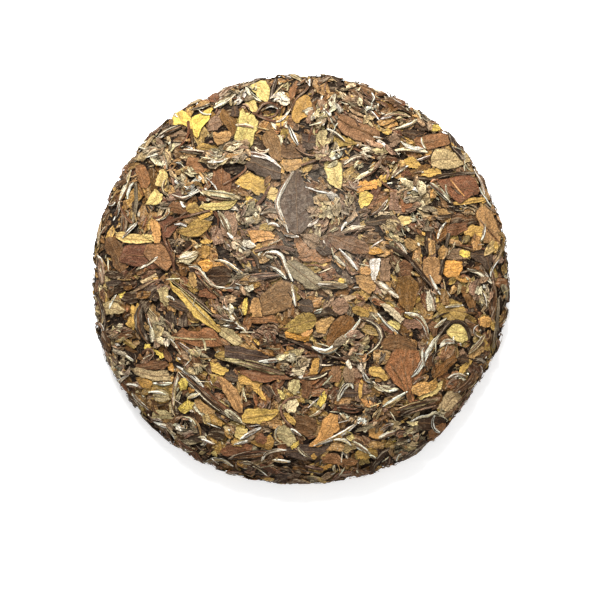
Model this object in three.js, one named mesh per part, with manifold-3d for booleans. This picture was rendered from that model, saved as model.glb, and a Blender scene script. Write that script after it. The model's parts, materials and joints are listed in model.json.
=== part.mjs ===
// A pressed cake of white tea: one round, slightly domed disc of steamed and pressed leaf, lying
// with its face up. The body is a solid of revolution with an uneven outline and a hollow pressed
// into the middle of its back. Leaves, rolled leaves, buds and stalks are thin wavy solids
// wrapped onto that body and fused with it.
// Millimetres, +Z up, the origin at the middle of the surface that the cake lies on.
import * as THREE from "three";
import { mergeVertices } from "three/addons/utils/BufferGeometryUtils.js";
import Module from "manifold-3d";

// Driving dimensions of the cake
const cakeRadius = 99.3;
const crownHeight = 23.4; // at the middle of the face
const rimHeight = 9; // where the side is widest
const crownPower = 4; // a higher power gives a flatter face
const shoulderRoundness = 1.8;
const seatRadius = 84; // the back is flat up to here
const seatRoundness = 2.4;
const seatRelief = 0.8; // the leaves on the back stand this far below the body
const hollowRadius = 30; // the hollow in the back
const hollowDepth = 6.5;

// The body's facets
const bodySegments = 44;
const faceRings = 6;
const sideRings = 7;
const backRings = 6;
const sideStart = 82; // distance from the crown, along the surface
const sideEnd = 128;

// The uneven outline: how far the side stands out or in, at an angle from +X, in degrees
const outlineLobes = [
  { at: 270, spread: 28, out: -2.6 },
  { at: 327, spread: 13, out: -2.0 },
  { at: 138, spread: 20, out: 1.3 },
  { at: 37, spread: 8, out: 1.1 },
  { at: 197, spread: 12, out: 0.9 },
];

// Relief of the body between the leaves: long crossing waves
const crumpleWaves = 6;
const crumpleHeight = 0.16;
const shortestWave = 11;
const waveStep = 3.5;
const goldenAngle = Math.PI * (3 - Math.sqrt(5));

// How a piece of each kind is made: steps along and across, how far it stands out, and how its
// width runs from end to end
const kinds = {
  leaf: { along: 4, across: 2, proud: 1.0, taper: 0.55, blunt: 0.07, crown: 0.15 },
  scrap: { along: 2, across: 1, proud: 1.0, taper: 0.5, blunt: 0.12, crown: 0 },
  roll: { along: 4, across: 2, proud: 0.8, taper: 0.35, blunt: 0.08, crown: 0.55 },
  bud: { along: 4, across: 2, proud: 0.7, taper: 0.6, blunt: 0.1, crown: 0.7 },
  stalk: { along: 4, across: 1, proud: 1.3, taper: 0.1, blunt: 0.3, crown: 0 },
};
const buried = 1.5; // every piece reaches this far into the body
const pieceWave = 0.18;
const tornEdge = 0.16; // share of the half width

// The most prominent pieces of the face, each at its place in mm from the middle:
// [kind, x, y, turn in degrees, length, width, bend in degrees]
const facePieces = [
  ["leaf", 26, 72.5, -32, 27, 12, -8],
  ["leaf", -1, 37.5, 92, 28, 15, 0],
  ["leaf", -49, -14, -47, 42, 6.5, -12],
  ["leaf", -19, 51.5, -22, 21, 8.5, 0],
  ["leaf", -26, 70.5, 68, 22, 11, 0],
  ["leaf", 49, -45.5, 98, 27, 16, 0],
  ["leaf", 63, 66.5, 20, 19, 8.5, 0],
  ["leaf", 75, 43, -30, 21, 13, 0],
  ["leaf", 89, 24, -65, 20, 9.5, 0],
  ["leaf", -49, -29.5, -8, 25, 8.5, 0],
  ["leaf", -12, -9.5, -55, 18, 15, 0],
  ["leaf", 2.5, 1, -38, 21, 9, 0],
  ["leaf", 11, -73, 50, 20, 7.5, 0],
  ["leaf", -37.5, 48, 85, 16, 9.5, 0],
  ["leaf", -14, 63, -65, 18, 8, 0],
  ["leaf", -24, 43.5, -28, 20, 9, 0],
  ["leaf", 15, 49, -68, 15, 8, 0],
  ["leaf", -50, 23.5, 25, 19, 8, 0],
  ["leaf", -66, 11, -30, 14, 12, 0],
  ["leaf", -90, 12.5, -60, 17, 8, 0],
  ["leaf", -80, 19, -8, 20, 4, 0],
  ["leaf", 75, -25.5, 20, 11, 10, 0],
  ["leaf", 71, -15, 5, 15, 9.5, 0],
  ["leaf", 71, -58, 40, 12, 9.5, 0],
  ["leaf", 66, -43, 38, 20, 5.5, 0],
  ["leaf", 62, 4, 100, 11, 8, 0],
  ["leaf", 19, -26, 60, 14, 10, 0],
  ["leaf", 22, 14, -10, 18, 8, 0],
  ["leaf", 48, -32, -5, 18, 8, 0],
  ["leaf", 1, 81, 100, 14, 10, 0],
  ["leaf", -20, 91, -15, 10.5, 9, 0],
  ["leaf", -44, -60, -40, 17, 8, 0],
  ["leaf", -65, 27, -10, 13, 8, 0],
  ["leaf", 1.5, -69, -40, 15, 10, 0],
  ["leaf", 36, -72.5, 5, 8, 6.5, 0],
  ["leaf", -9.5, -74, -40, 9, 8, 0],
  ["leaf", 86, 11, -30, 11, 8, 0],
  ["leaf", -56, 76.5, -10, 9, 6.5, 0],
  ["leaf", -47.5, 74.5, 62, 16, 6, 0],
  ["leaf", 1, -20.5, 5, 14, 9, 0],
  ["roll", -39, 39.5, -10, 20, 4.5, 0],
  ["roll", -76, -20, -85, 21, 4.5, 40],
  ["roll", -22, -1, 10, 24, 4.5, 0],
  ["roll", -72, -45, -12, 24, 4.5, -6],
  ["roll", -24, -34, -8, 24, 6.5, 0],
  ["roll", -25, -41, -10, 26, 4, -8],
  ["roll", -17, -46, -10, 26, 4, 0],
  ["roll", -46, -53, -48, 30, 3.5, 0],
  ["roll", -21, -66, 3, 16, 6, 0],
  ["roll", -1, -83, 3, 30, 7, 0],
  ["roll", -27, -86, 3, 20, 5, 0],
  ["roll", -73, -5.5, 25, 20, 4.5, 0],
  ["roll", 43, -15.5, -37, 18, 5, 0],
  ["roll", -68, -24, -60, 18, 7, 0],
  ["roll", -47, -5, -38, 22, 4.5, 0],
  ["roll", -89, -37.5, -58, 19, 3.5, 0],
  ["roll", 57, -60.5, 16, 18, 3, 0],
  ["bud", -22, 58.5, -12, 30, 2.8, -50],
  ["bud", 18, -31, 32, 31, 2.8, 75],
  ["bud", 65, -27, 55, 17, 2.4, 20],
  ["bud", 25, -78.5, -22, 20, 2.6, -12],
  ["bud", 18, -54, 60, 14, 3, -50],
  ["bud", -9, 7, -65, 20, 2.2, -60],
  ["bud", -34, -5.5, 5, 22, 2.2, -20],
  ["bud", 85, 3, -60, 11, 3.5, 0],
  ["stalk", 69, 48.5, 10, 37, 1.8, -12],
  ["stalk", 53, 6, -48, 30, 1.8, -25],
  ["stalk", 92, -12, -90, 42, 2.2, 0],
  ["stalk", 36, -25, -60, 22, 2.4, -80],
  ["stalk", -9, -65, -75, 26, 1.5, 75],
];

// The smaller pieces that fill the face, the side and the back, spread by a spiral
const fills = [
  { kind: "scrap", count: 9, from: 20, to: 84, length: [7, 12], width: [4, 7], back: false },
  { kind: "scrap", count: 30, from: 94, to: 112, length: [8, 14], width: [5, 9], back: false },
  { kind: "scrap", count: 18, from: 34, to: 88, length: [14, 22], width: [9, 14], back: true },
];
const placeJitter = 3;
const seed = 4403;

const radians = THREE.MathUtils.degToRad;
const wasm = await Module();
wasm.setup();

function makeRandom(start) {
  let state = start;
  return () => (state = (state * 48271) % 2147483647) / 2147483647;
}

// Height of the face and of the back at a distance from the axis
function faceHeight(r) {
  const fall = 1 - (r / cakeRadius) ** crownPower;
  return rimHeight + (crownHeight - rimHeight) * Math.max(fall, 0) ** (1 / shoulderRoundness);
}

function backHeight(r) {
  if (r < hollowRadius)
    return seatRelief + (hollowDepth * (1 + Math.cos((Math.PI * r) / hollowRadius))) / 2;
  if (r < seatRadius) return seatRelief;
  const turn = Math.min((r - seatRadius) / (cakeRadius - seatRadius), 1);
  return seatRelief + (rimHeight - seatRelief) * (1 - Math.sqrt(1 - turn ** seatRoundness));
}

// The half section as a fine polyline from the crown, over the side, to the middle of the back,
// with the length run so far at each point
function halfSection() {
  const steps = 400;
  const points = [];
  for (let i = 0; i <= steps; i++) {
    const r = cakeRadius * Math.sin((Math.PI * i) / (2 * steps));
    points.push(new THREE.Vector2(r, faceHeight(r)));
  }
  for (let i = steps - 1; i >= 0; i--) {
    const r = cakeRadius * Math.sin((Math.PI * i) / (2 * steps));
    points.push(new THREE.Vector2(r, backHeight(r)));
  }
  const runs = [0];
  for (let i = 1; i < points.length; i++)
    runs.push(runs[i - 1] + points[i].distanceTo(points[i - 1]));
  return { points, runs, total: runs[runs.length - 1] };
}
const section = halfSection();

// A point of the half section, and its outward normal, at a run from the crown
function sectionAt(run) {
  const { points, runs, total } = section;
  const at = THREE.MathUtils.clamp(run, 0, total);
  let low = 0;
  let high = runs.length - 1;
  while (high - low > 1) {
    const middle = (low + high) >> 1;
    if (runs[middle] <= at) low = middle;
    else high = middle;
  }
  const share = (at - runs[low]) / (runs[high] - runs[low]);
  const point = points[low].clone().lerp(points[high], share);
  const before = points[Math.max(low - 2, 0)];
  const after = points[Math.min(high + 2, points.length - 1)];
  const along = after.clone().sub(before).normalize();
  return { point, normal: new THREE.Vector2(-along.y, along.x) };
}

function outlineAt(angle) {
  return outlineLobes.reduce((sum, lobe) => {
    const away = Math.atan2(Math.sin(angle - radians(lobe.at)), Math.cos(angle - radians(lobe.at)));
    return sum + lobe.out * Math.exp(-((away / radians(lobe.spread)) ** 2));
  }, 0);
}

// A point on the cake: run from the crown, angle round the axis, and how far out it stands
function onCake(run, angle, out) {
  const { point, normal } = sectionAt(run);
  const widen = 1 + (outlineAt(angle) * (point.x / cakeRadius) ** 4) / cakeRadius;
  const r = Math.max(point.x + normal.x * out, 0) * widen;
  const z = Math.max(point.y + normal.y * out, 0);
  return new THREE.Vector3(r * Math.cos(angle), r * Math.sin(angle), z);
}

function crumple(x, y, z) {
  let sum = 0;
  for (let i = 0; i < crumpleWaves; i++) {
    const heading = i * goldenAngle;
    const wave = shortestWave + i * waveStep;
    const along = x * Math.cos(heading) + y * Math.sin(heading) + z * 0.7;
    sum += Math.sin((2 * Math.PI * along) / wave + i);
  }
  return crumpleHeight * sum;
}

// A closed geometry as a manifold solid: only positions, shared vertices, no collapsed faces
function toSolid(geometry) {
  geometry.deleteAttribute("normal");
  geometry.deleteAttribute("uv");
  const merged = mergeVertices(geometry, 1e-4);
  const faces = [];
  const index = merged.index.array;
  for (let i = 0; i < index.length; i += 3) {
    const [a, b, c] = [index[i], index[i + 1], index[i + 2]];
    if (a !== b && b !== c && a !== c) faces.push(a, b, c);
  }
  return new wasm.Manifold(
    new wasm.Mesh({
      numProp: 3,
      vertProperties: Float32Array.from(merged.attributes.position.array),
      triVerts: Uint32Array.from(faces),
    }),
  );
}

function bodyRuns() {
  const runs = [];
  for (let i = 0; i < faceRings; i++) runs.push((sideStart * i) / faceRings);
  for (let i = 0; i < sideRings; i++)
    runs.push(sideStart + ((sideEnd - sideStart) * i) / sideRings);
  for (let i = 0; i <= backRings; i++)
    runs.push(sideEnd + ((section.total - sideEnd) * i) / backRings);
  return runs;
}

// The body: a lathe of the half section, its surface crumpled a little
function body() {
  const runs = bodyRuns();
  const profile = runs.map((run) => sectionAt(run).point);
  const geometry = new THREE.LatheGeometry(profile, bodySegments);
  const position = geometry.attributes.position;
  for (let i = 0; i < position.count; i++) {
    const run = runs[i % runs.length];
    const step = Math.floor(i / runs.length) % bodySegments;
    const pole = run === 0 || run === section.total;
    const angle = pole ? 0 : (-2 * Math.PI * step) / bodySegments;
    const at = onCake(run, angle, 0);
    const fade = Math.min(Math.hypot(at.x, at.y) / hollowRadius, 1);
    const moved = onCake(run, angle, fade * crumple(at.x, at.y, at.z));
    position.setXYZ(i, moved.x, moved.y, moved.z);
  }
  return toSolid(geometry);
}

// A pressed piece: a box split along and across on both faces, drawn out to the piece's outline,
// bent, and wrapped onto the face or, where back is true, onto the back
function pressedPiece({ kind, x, y, turn, length, width, bend, back, random }) {
  const make = kinds[kind];
  const geometry = new THREE.BoxGeometry(1, 1, 1, make.along, make.across, 1);
  const position = geometry.attributes.position;
  const phase = random() * 2 * Math.PI;
  const lift = make.proud * (0.7 + 0.6 * random());
  const edges = Array.from({ length: 2 * (make.along + 1) }, () => 1 - tornEdge * random());
  for (let i = 0; i < position.count; i++) {
    const u = position.getX(i) + 0.5;
    const v = 2 * position.getY(i);
    const top = position.getZ(i) > 0;
    const station = Math.round(u * make.along);
    const edge = edges[v < 0 ? station : station + make.along + 1];
    const share = make.blunt + (1 - 2 * make.blunt) * u;
    const half = (width / 2) * Math.sin(Math.PI * share) ** make.taper * edge;
    const swing = radians(bend) * (u - 0.5);
    const heading = radians(turn) + swing / 2;
    const across = radians(turn) + swing + Math.PI / 2;
    const run = length * (u - 0.5);
    const px = x + run * Math.cos(heading) + half * v * Math.cos(across);
    const py = y + run * Math.sin(heading) + half * v * Math.sin(across);
    const wave = pieceWave * Math.sin(6 * u + 2 * v + phase);
    const out = top ? lift + make.crown * (1 - v * v) + wave : -buried;
    const reach = Math.hypot(px, py);
    const angle = back ? -Math.atan2(py, px) : Math.atan2(py, px);
    const moved = onCake(back ? section.total - reach : reach, angle, out);
    position.setXYZ(i, moved.x, moved.y, moved.z);
  }
  return toSolid(geometry);
}

function facePiece([kind, x, y, turn, length, width, bend], random) {
  return pressedPiece({ kind, x, y, turn, length, width, bend, back: false, random });
}

// One ring of fill pieces, laid on a spiral so that they spread evenly
function fillPieces({ kind, count, from, to, length, width, back }, random) {
  const between = ([low, high]) => low + (high - low) * random();
  return Array.from({ length: count }, (_, i) => {
    const reach = Math.sqrt(from ** 2 + ((to ** 2 - from ** 2) * (i + 0.5)) / count);
    const angle = i * goldenAngle;
    return pressedPiece({
      kind,
      x: reach * Math.cos(angle) + placeJitter * (random() - 0.5),
      y: reach * Math.sin(angle) + placeJitter * (random() - 0.5),
      turn: 360 * random(),
      length: between(length),
      width: between(width),
      bend: 30 * (random() - 0.5),
      back,
      random,
    });
  });
}

// All of it as one solid: the outer skin alone, so that no sealed gap stays inside
function teaCake() {
  const random = makeRandom(seed);
  const solids = [body()];
  for (const piece of facePieces) solids.push(facePiece(piece, random));
  for (const fill of fills) solids.push(...fillPieces(fill, random));
  const fused = wasm.Manifold.union(solids);
  const whole = fused.decompose().reduce((a, b) => (b.volume() > a.volume() ? b : a));
  const mesh = whole.getMesh();
  const { min, max } = whole.boundingBox();
  const geometry = new THREE.BufferGeometry();
  geometry.setAttribute("position", new THREE.BufferAttribute(mesh.vertProperties, 3));
  geometry.setIndex(new THREE.BufferAttribute(mesh.triVerts, 1));
  geometry.translate(-(min[0] + max[0]) / 2, -(min[1] + max[1]) / 2, -min[2]);
  geometry.computeVertexNormals();
  return geometry;
}

const pressedLeaf = new THREE.MeshStandardMaterial({
  color: 0x8a6f50,
  roughness: 0.75,
  metalness: 0,
});
const cake = new THREE.Mesh(teaCake(), pressedLeaf);
cake.name = "tea_cake";

const group = new THREE.Group();
group.add(cake);
export default group;
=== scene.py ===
# White tea cake: pressed leaves, buds and stalks laid one by one over the cake's body.
# Lengths are millimetres until a mesh is written, which is in metres.
import json
import math

import bmesh
import bpy
import numpy as np
from mathutils import Matrix, Vector, noise

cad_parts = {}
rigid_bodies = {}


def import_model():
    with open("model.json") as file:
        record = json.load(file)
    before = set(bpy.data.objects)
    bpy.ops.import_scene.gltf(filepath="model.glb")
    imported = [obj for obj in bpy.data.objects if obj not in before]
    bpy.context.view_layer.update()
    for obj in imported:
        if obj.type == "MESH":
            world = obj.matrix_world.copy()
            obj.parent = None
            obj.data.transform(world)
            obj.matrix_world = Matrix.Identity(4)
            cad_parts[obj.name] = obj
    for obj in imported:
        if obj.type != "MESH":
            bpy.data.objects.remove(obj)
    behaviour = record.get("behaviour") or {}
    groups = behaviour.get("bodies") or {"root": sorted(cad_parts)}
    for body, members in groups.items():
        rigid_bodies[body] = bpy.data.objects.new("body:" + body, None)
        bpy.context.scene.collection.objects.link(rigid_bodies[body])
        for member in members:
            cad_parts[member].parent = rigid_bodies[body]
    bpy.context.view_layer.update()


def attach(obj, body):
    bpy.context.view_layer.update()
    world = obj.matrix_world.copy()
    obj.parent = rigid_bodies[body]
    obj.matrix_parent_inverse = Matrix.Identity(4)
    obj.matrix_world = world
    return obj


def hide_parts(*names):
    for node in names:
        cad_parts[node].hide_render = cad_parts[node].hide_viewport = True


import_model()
mm = 0.001
tiny = 1e-6
rng = np.random.default_rng(4403)
goldenAngle = math.pi * (3 - math.sqrt(5))

# The cake's body
cake = {
    "radius": 99.3,
    "crown": 23.4,
    "rim": 9.0,
    "crownPower": 4,
    "shoulder": 1.8,
    "seat": 84.0,
    "seatPower": 2.4,
    "seatGap": 0.8,
    "hollow": 30.0,
    "hollowDepth": 6.5,
    "axis": (0.44, -1.35),  # where the cake's axis is in the frame
    "lobePower": 4,  # how soon the lobes below fade towards the middle
}
# how far the side bulges out or in: degrees from +X, spread in degrees, mm
outlineLobes = [
    (270, 28, -2.6),
    (327, 13, -2.0),
    (138, 20, 1.3),
    (37, 8, 1.1),
    (197, 12, 0.9),
]


def faceHeight(r):
    fall = np.clip(1 - (r / cake["radius"]) ** cake["crownPower"], 0, 1)
    return cake["rim"] + (cake["crown"] - cake["rim"]) * fall ** (1 / cake["shoulder"])


def backHeight(r):
    gap, seat, hollow = cake["seatGap"], cake["seat"], cake["hollow"]
    turn = np.clip((r - seat) / (cake["radius"] - seat), 0, 1)
    side = (cake["rim"] - gap) * (1 - np.sqrt(1 - turn ** cake["seatPower"]))
    dip = cake["hollowDepth"] * (1 + np.cos(math.pi * np.minimum(r / hollow, 1))) / 2
    return gap + side + dip


# the half section, from the crown over the side to the middle of the back
quarter = cake["radius"] * np.sin(np.linspace(0, math.pi / 2, 400))
inward = quarter[-2::-1]
sectionR = np.concatenate([quarter, inward])
sectionZ = np.concatenate([faceHeight(quarter), backHeight(inward)])
stepLength = np.hypot(np.diff(sectionR), np.diff(sectionZ))
sectionRun = np.concatenate([[0], np.cumsum(stepLength)])
slopeR = np.gradient(sectionR, sectionRun)
slopeZ = np.gradient(sectionZ, sectionRun)
wholeRun = sectionRun[-1]
rimRun = sectionRun[len(quarter) - 1]


# the place on the half section and the way its surface faces
def sectionAt(run):
    r, z, acrossR, acrossZ = (
        np.interp(run, sectionRun, values) for values in (sectionR, sectionZ, slopeR, slopeZ)
    )
    return r, z, -acrossZ, acrossR


def outlineAt(angle):
    out = np.zeros_like(angle)
    for at, spread, reach in outlineLobes:
        away = (np.degrees(angle) - at + 180) % 360 - 180
        out += reach * np.exp(-((away / spread) ** 2))
    return out


def widening(angle, r):
    return 1 + outlineAt(angle) * (r / cake["radius"]) ** cake["lobePower"] / cake["radius"]


# x, y: distance and direction from the middle of the face or of the back; out: off the body
def onCake(x, y, out, back):
    run = np.where(back, wholeRun - np.hypot(x, y), np.hypot(x, y))
    angle = np.where(back, -np.arctan2(y, x), np.arctan2(y, x))
    r, z, normalR, normalZ = sectionAt(run)
    r = np.maximum(r + normalR * out, 0) * widening(angle, r)
    z = z + normalZ * out
    gap = cake["seatGap"]  # what lies under the body is pressed ever flatter
    z = np.where(z < gap, gap * np.exp((np.minimum(z, gap) - gap) / gap), z)
    x = r * np.cos(angle) + cake["axis"][0]
    y = r * np.sin(angle) + cake["axis"][1]
    return np.stack([x, y, z], axis=-1) * mm


# a place seen from above, as a distance and direction along the face
def fromAbove(line):
    r = np.hypot(line[:, 0], line[:, 1])
    brink = cake["radius"] - 0.4
    run = np.interp(np.minimum(r, brink), quarter, sectionRun[: len(quarter)])
    return line * (run / np.maximum(r, tiny))[:, None]


print("body: run to the rim", round(rimRun, 1), "of", round(wholeRun, 1), "mm")

# How high the tea lies over the body so far, as a map of the face and one of the back
bed = {
    "reach": 128.0,  # half the map's width
    "cell": 0.5,
    "start": -1.3,
    "edgeCells": 2,
    "bridging": 3,  # the more, the farther a leaf spans what is low below it
}
bedCells = int(2 * bed["reach"] / bed["cell"])
levels = {side: np.full((bedCells, bedCells), bed["start"]) for side in (False, True)}
taken = {side: np.zeros((bedCells, bedCells), bool) for side in (False, True)}


def cellsAt(x, y):
    ix = ((x + bed["reach"]) / bed["cell"]).astype(int)
    iy = ((y + bed["reach"]) / bed["cell"]).astype(int)
    low, high = bed["edgeCells"], bedCells - 1 - bed["edgeCells"]
    return np.clip(ix, low, high), np.clip(iy, low, high)


def levelAt(back, x, y):
    ix, iy = cellsAt(x, y)
    level = levels[back]
    steps = (-1, 0, 1)
    return np.max([level[iy + j, ix + i] for i in steps for j in steps], axis=0)


def printLevel(stage, back):
    laid = levels[back][levels[back] > bed["start"] + 0.1]
    print(stage, "laid: level", round(float(np.median(laid)), 2))


def tent(low):
    high = low.copy()
    for _ in range(bed["bridging"]):
        wide = np.pad(high, 1, mode="edge")
        mean = (wide[:-2, 1:-1] + wide[2:, 1:-1] + wide[1:-1, :-2] + wide[1:-1, 2:]) / 4
        high = np.maximum(low, mean)
    return high


def finer(values, alongTimes, acrossTimes):
    for axis, times in ((0, alongTimes), (1, acrossTimes)):
        count = values.shape[axis] - 1
        at = np.linspace(0, count, count * times + 1)
        low = np.minimum(at.astype(int), count - 1)
        part = at - low
        part = part[:, None] if axis == 0 else part[None, :]
        values = np.take(values, low, axis) * (1 - part) + np.take(values, low + 1, axis) * part
    return values


def press(back, x, y, top, keep):
    longest = np.hypot(np.diff(x, axis=0), np.diff(y, axis=0)).max()
    widest = np.hypot(np.diff(x, axis=1), np.diff(y, axis=1)).max()
    times = [int(math.ceil(d / bed["cell"])) or 1 for d in (longest, widest)]
    fx, fy, ftop = (finer(a, *times) for a in (x, y, top))
    ix, iy = cellsAt(fx, fy)
    np.maximum.at(levels[back], (iy, ix), ftop)
    if keep:
        taken[back][iy, ix] = True


# Pressing: the tea is brought to one smooth height and flattened. Every piece at a place moves
# by the same rule, so what lay on top stays on top.
pressing = {"squeeze": 0.6, "height": 0.4, "limit": 1.5, "radius": 9.0, "passes": 3}


def blurred(values, radius):
    window = 2 * int(radius / bed["cell"] / 2) + 1
    for _ in range(pressing["passes"]):
        for axis in (0, 1):
            edge = [(0, 0), (0, 0)]
            edge[axis] = (window // 2 + 1, window // 2)
            total = np.cumsum(np.pad(values, edge, mode="edge"), axis=axis)
            values = np.take(total, range(window, total.shape[axis]), axis)
            values = (values - np.take(total, range(total.shape[axis] - window), axis)) / window
    return values


def pressedDown(x, y, out, back):
    ix, iy = cellsAt(x, y)
    mean = np.where(back, meanLevels[True][iy, ix], meanLevels[False][iy, ix])
    out = pressing["height"] + pressing["squeeze"] * (out - mean)
    limit = pressing["limit"]
    return np.where(out > 0, limit * np.tanh(out / limit), out)


# painted shade: the leaves at the rim are painted darker, standing in for the shade on the cake's
# side
rimShading = {"from": 84, "over": 20, "most": 0.2}


def paintedRimShade(x, y):
    return 1 - rimShading["most"] * np.clip((np.hypot(x, y) - rimShading["from"]) / rimShading["over"], 0, 1)


# One leaf: a flat grid with a thickness. Its corners say where on the leaf they are.
def leafBlank(along, across):
    bm = bmesh.new()
    bmesh.ops.create_grid(bm, x_segments=along, y_segments=across, size=0.5)
    bmesh.ops.solidify(bm, geom=bm.faces[:], thickness=0.1)
    bmesh.ops.recalc_face_normals(bm, faces=bm.faces[:])
    return blankMesh(bm, "leafBlank")


# One stalk or bud: a closed tube with rings
def tubeBlank(along, around):
    bm = bmesh.new()
    lying = Matrix.Rotation(math.pi / 2, 4, "Y")
    bmesh.ops.create_cone(
        bm, cap_ends=True, segments=around, radius1=0.5, radius2=0.5, depth=1, matrix=lying
    )
    for i in range(1, along):
        everything = bm.verts[:] + bm.edges[:] + bm.faces[:]
        bmesh.ops.bisect_plane(
            bm, geom=everything, plane_co=(i / along - 0.5, 0, 0), plane_no=(1, 0, 0)
        )
    bmesh.ops.recalc_face_normals(bm, faces=bm.faces[:])
    return blankMesh(bm, "tubeBlank")


sharpEdge = math.radians(70)


def blankMesh(bm, name):
    places = bm.loops.layers.uv.new("leafMap")
    for face in bm.faces:
        face.smooth = True
        for loop in face.loops:
            loop[places].uv = (loop.vert.co.x + 0.5, loop.vert.co.y + 0.5)
    for edge in bm.edges:
        edge.smooth = edge.calc_face_angle(0) < sharpEdge
    mesh = bpy.data.meshes.new(name)
    bm.to_mesh(mesh)
    bm.free()
    return mesh


# All pieces of one kind, kept until they are written as one mesh
class Pile:
    def __init__(self, name, makeBlank, along, across):
        self.name, self.along, self.across = name, along, across
        self.blank = makeBlank(along, across)
        corners = np.array([v.co for v in self.blank.vertices])
        self.i = np.round((corners[:, 0] + 0.5) * along).astype(int)
        self.j = np.round((corners[:, 1] + 0.5) * across).astype(int)
        self.upper = corners[:, 2] > corners[:, 2].mean()
        self.angle = np.arctan2(corners[:, 2], corners[:, 1])
        self.x, self.y, self.out, self.back, self.tone, self.grain = [], [], [], [], [], []

    def add(self, x, y, out, back, tone, shade, along, across):
        self.x.append(x)
        self.y.append(y)
        self.out.append(out)
        self.back.append(np.full(len(x), back))
        colour = np.ones((len(x), 4))
        # the tone times the painted light and shade of folds, ridges and rim
        colour[:, :3] = np.clip(tone * shade[:, None], 0, 1)
        self.tone.append(colour)
        seed = np.full(len(x), rng.uniform(0, 60))
        self.grain.append(np.stack([along, across, seed], axis=-1))


def sway(count, size):
    wave = rng.normal(0, 1, count)
    wave = np.convolve(np.pad(wave, 2, mode="edge"), [0.25, 0.5, 0.25], "same")[2:-2]
    return size * wave


def runAlong(line):
    return np.concatenate([[0], np.cumsum(np.linalg.norm(np.diff(line, axis=0), axis=1))])


def evenly(points, steps):
    line = np.array(points, float).reshape(-1, 2)
    run = runAlong(line)
    at = np.linspace(0, run[-1], steps + 1)
    return np.stack([np.interp(at, run, line[:, k]) for k in (0, 1)], axis=1)


def ways(line):
    heading = np.gradient(line, axis=0)
    heading /= np.maximum(np.linalg.norm(heading, axis=1), tiny)[:, None]
    return heading, np.stack([-heading[:, 1], heading[:, 0]], axis=1)


# How leaves vary, as shares of the sizes in their look unless they are in mm
habits = {
    "tear": (-1, 0.6),  # an edge goes in or out
    "fray": 0.5,
    "slant": 0.7,  # an end is cut askew
    "fullFray": 8,  # mm of length from which the ends fray fully
    "drawnEdge": (-0.32, 0.5),  # mm that a drawn edge goes in or out
    "foldAcross": 3,
    "foldAlong": 2.5,
    "foldSwing": 4.5,
    "pleatSwing": 1.5,
    "pleatAlong": 3,
    "farCurl": 0.2,  # the edge that lies lower curls less
    # painted light and shade: how much the folds and the nearness of the edge change a leaf's
    # colour
    "foldShade": 0.4,
    "edgeShade": 0.5,
}


# line: the middle line, in the x and y of onCake; half: half the width, or one half each way
def layLeaf(pile, line, half, tone, look, back=False, keep=False, later=None):
    if half.ndim == 1:
        half = np.stack([half, half], axis=1)
    run = runAlong(line)
    heading, left = ways(line)
    v = np.linspace(-1, 1, pile.across + 1)[None, :]
    torn = half * (1 + look["torn"] * rng.uniform(*habits["tear"], half.shape))
    reach = np.where(v < 0, torn[:, :1], torn[:, 1:]) * v
    ragged = np.zeros_like(reach)
    fray, slant = habits["fray"], habits["slant"]
    size = look["ragged"]
    part = np.minimum(run[-1] / habits["fullFray"], 1)
    for end in (0, -1):  # each end is cut at a slant and frayed
        frayed = rng.uniform(-fray, fray, reach.shape[1]) * size * part
        ragged[end] = rng.uniform(-slant, slant) * reach[end] + frayed
    x = line[:, :1] + left[:, :1] * reach + heading[:, :1] * ragged
    y = line[:, 1:] + left[:, 1:] * reach + heading[:, 1:] * ragged
    layGrid(pile, x, y, run, reach, tone, look, back, keep, later)


# A leaf between two drawn edges, each from one end of it to the other
def layBetween(pile, left, right, tone, look):
    left, right = (evenly(edge, pile.along) for edge in (left, right))
    aside = ways((left + right) / 2)[1]
    if ((left - right) * aside).sum() < 0:
        left, right = right, left
    left = fromAbove(left + aside * rng.uniform(*habits["drawnEdge"], (len(left), 1)))
    right = fromAbove(right - aside * rng.uniform(*habits["drawnEdge"], (len(right), 1)))
    v = np.linspace(-1, 1, pile.across + 1)[None, :]
    x, y = (left[:, k : k + 1] * (1 + v) / 2 + right[:, k : k + 1] * (1 - v) / 2 for k in (0, 1))
    half = np.linalg.norm(right - left, axis=1)[:, None] / 2
    run = runAlong((left + right) / 2)
    layGrid(pile, x, y, run, half * v, tone, look, back=False, keep=True, later=None)


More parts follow.
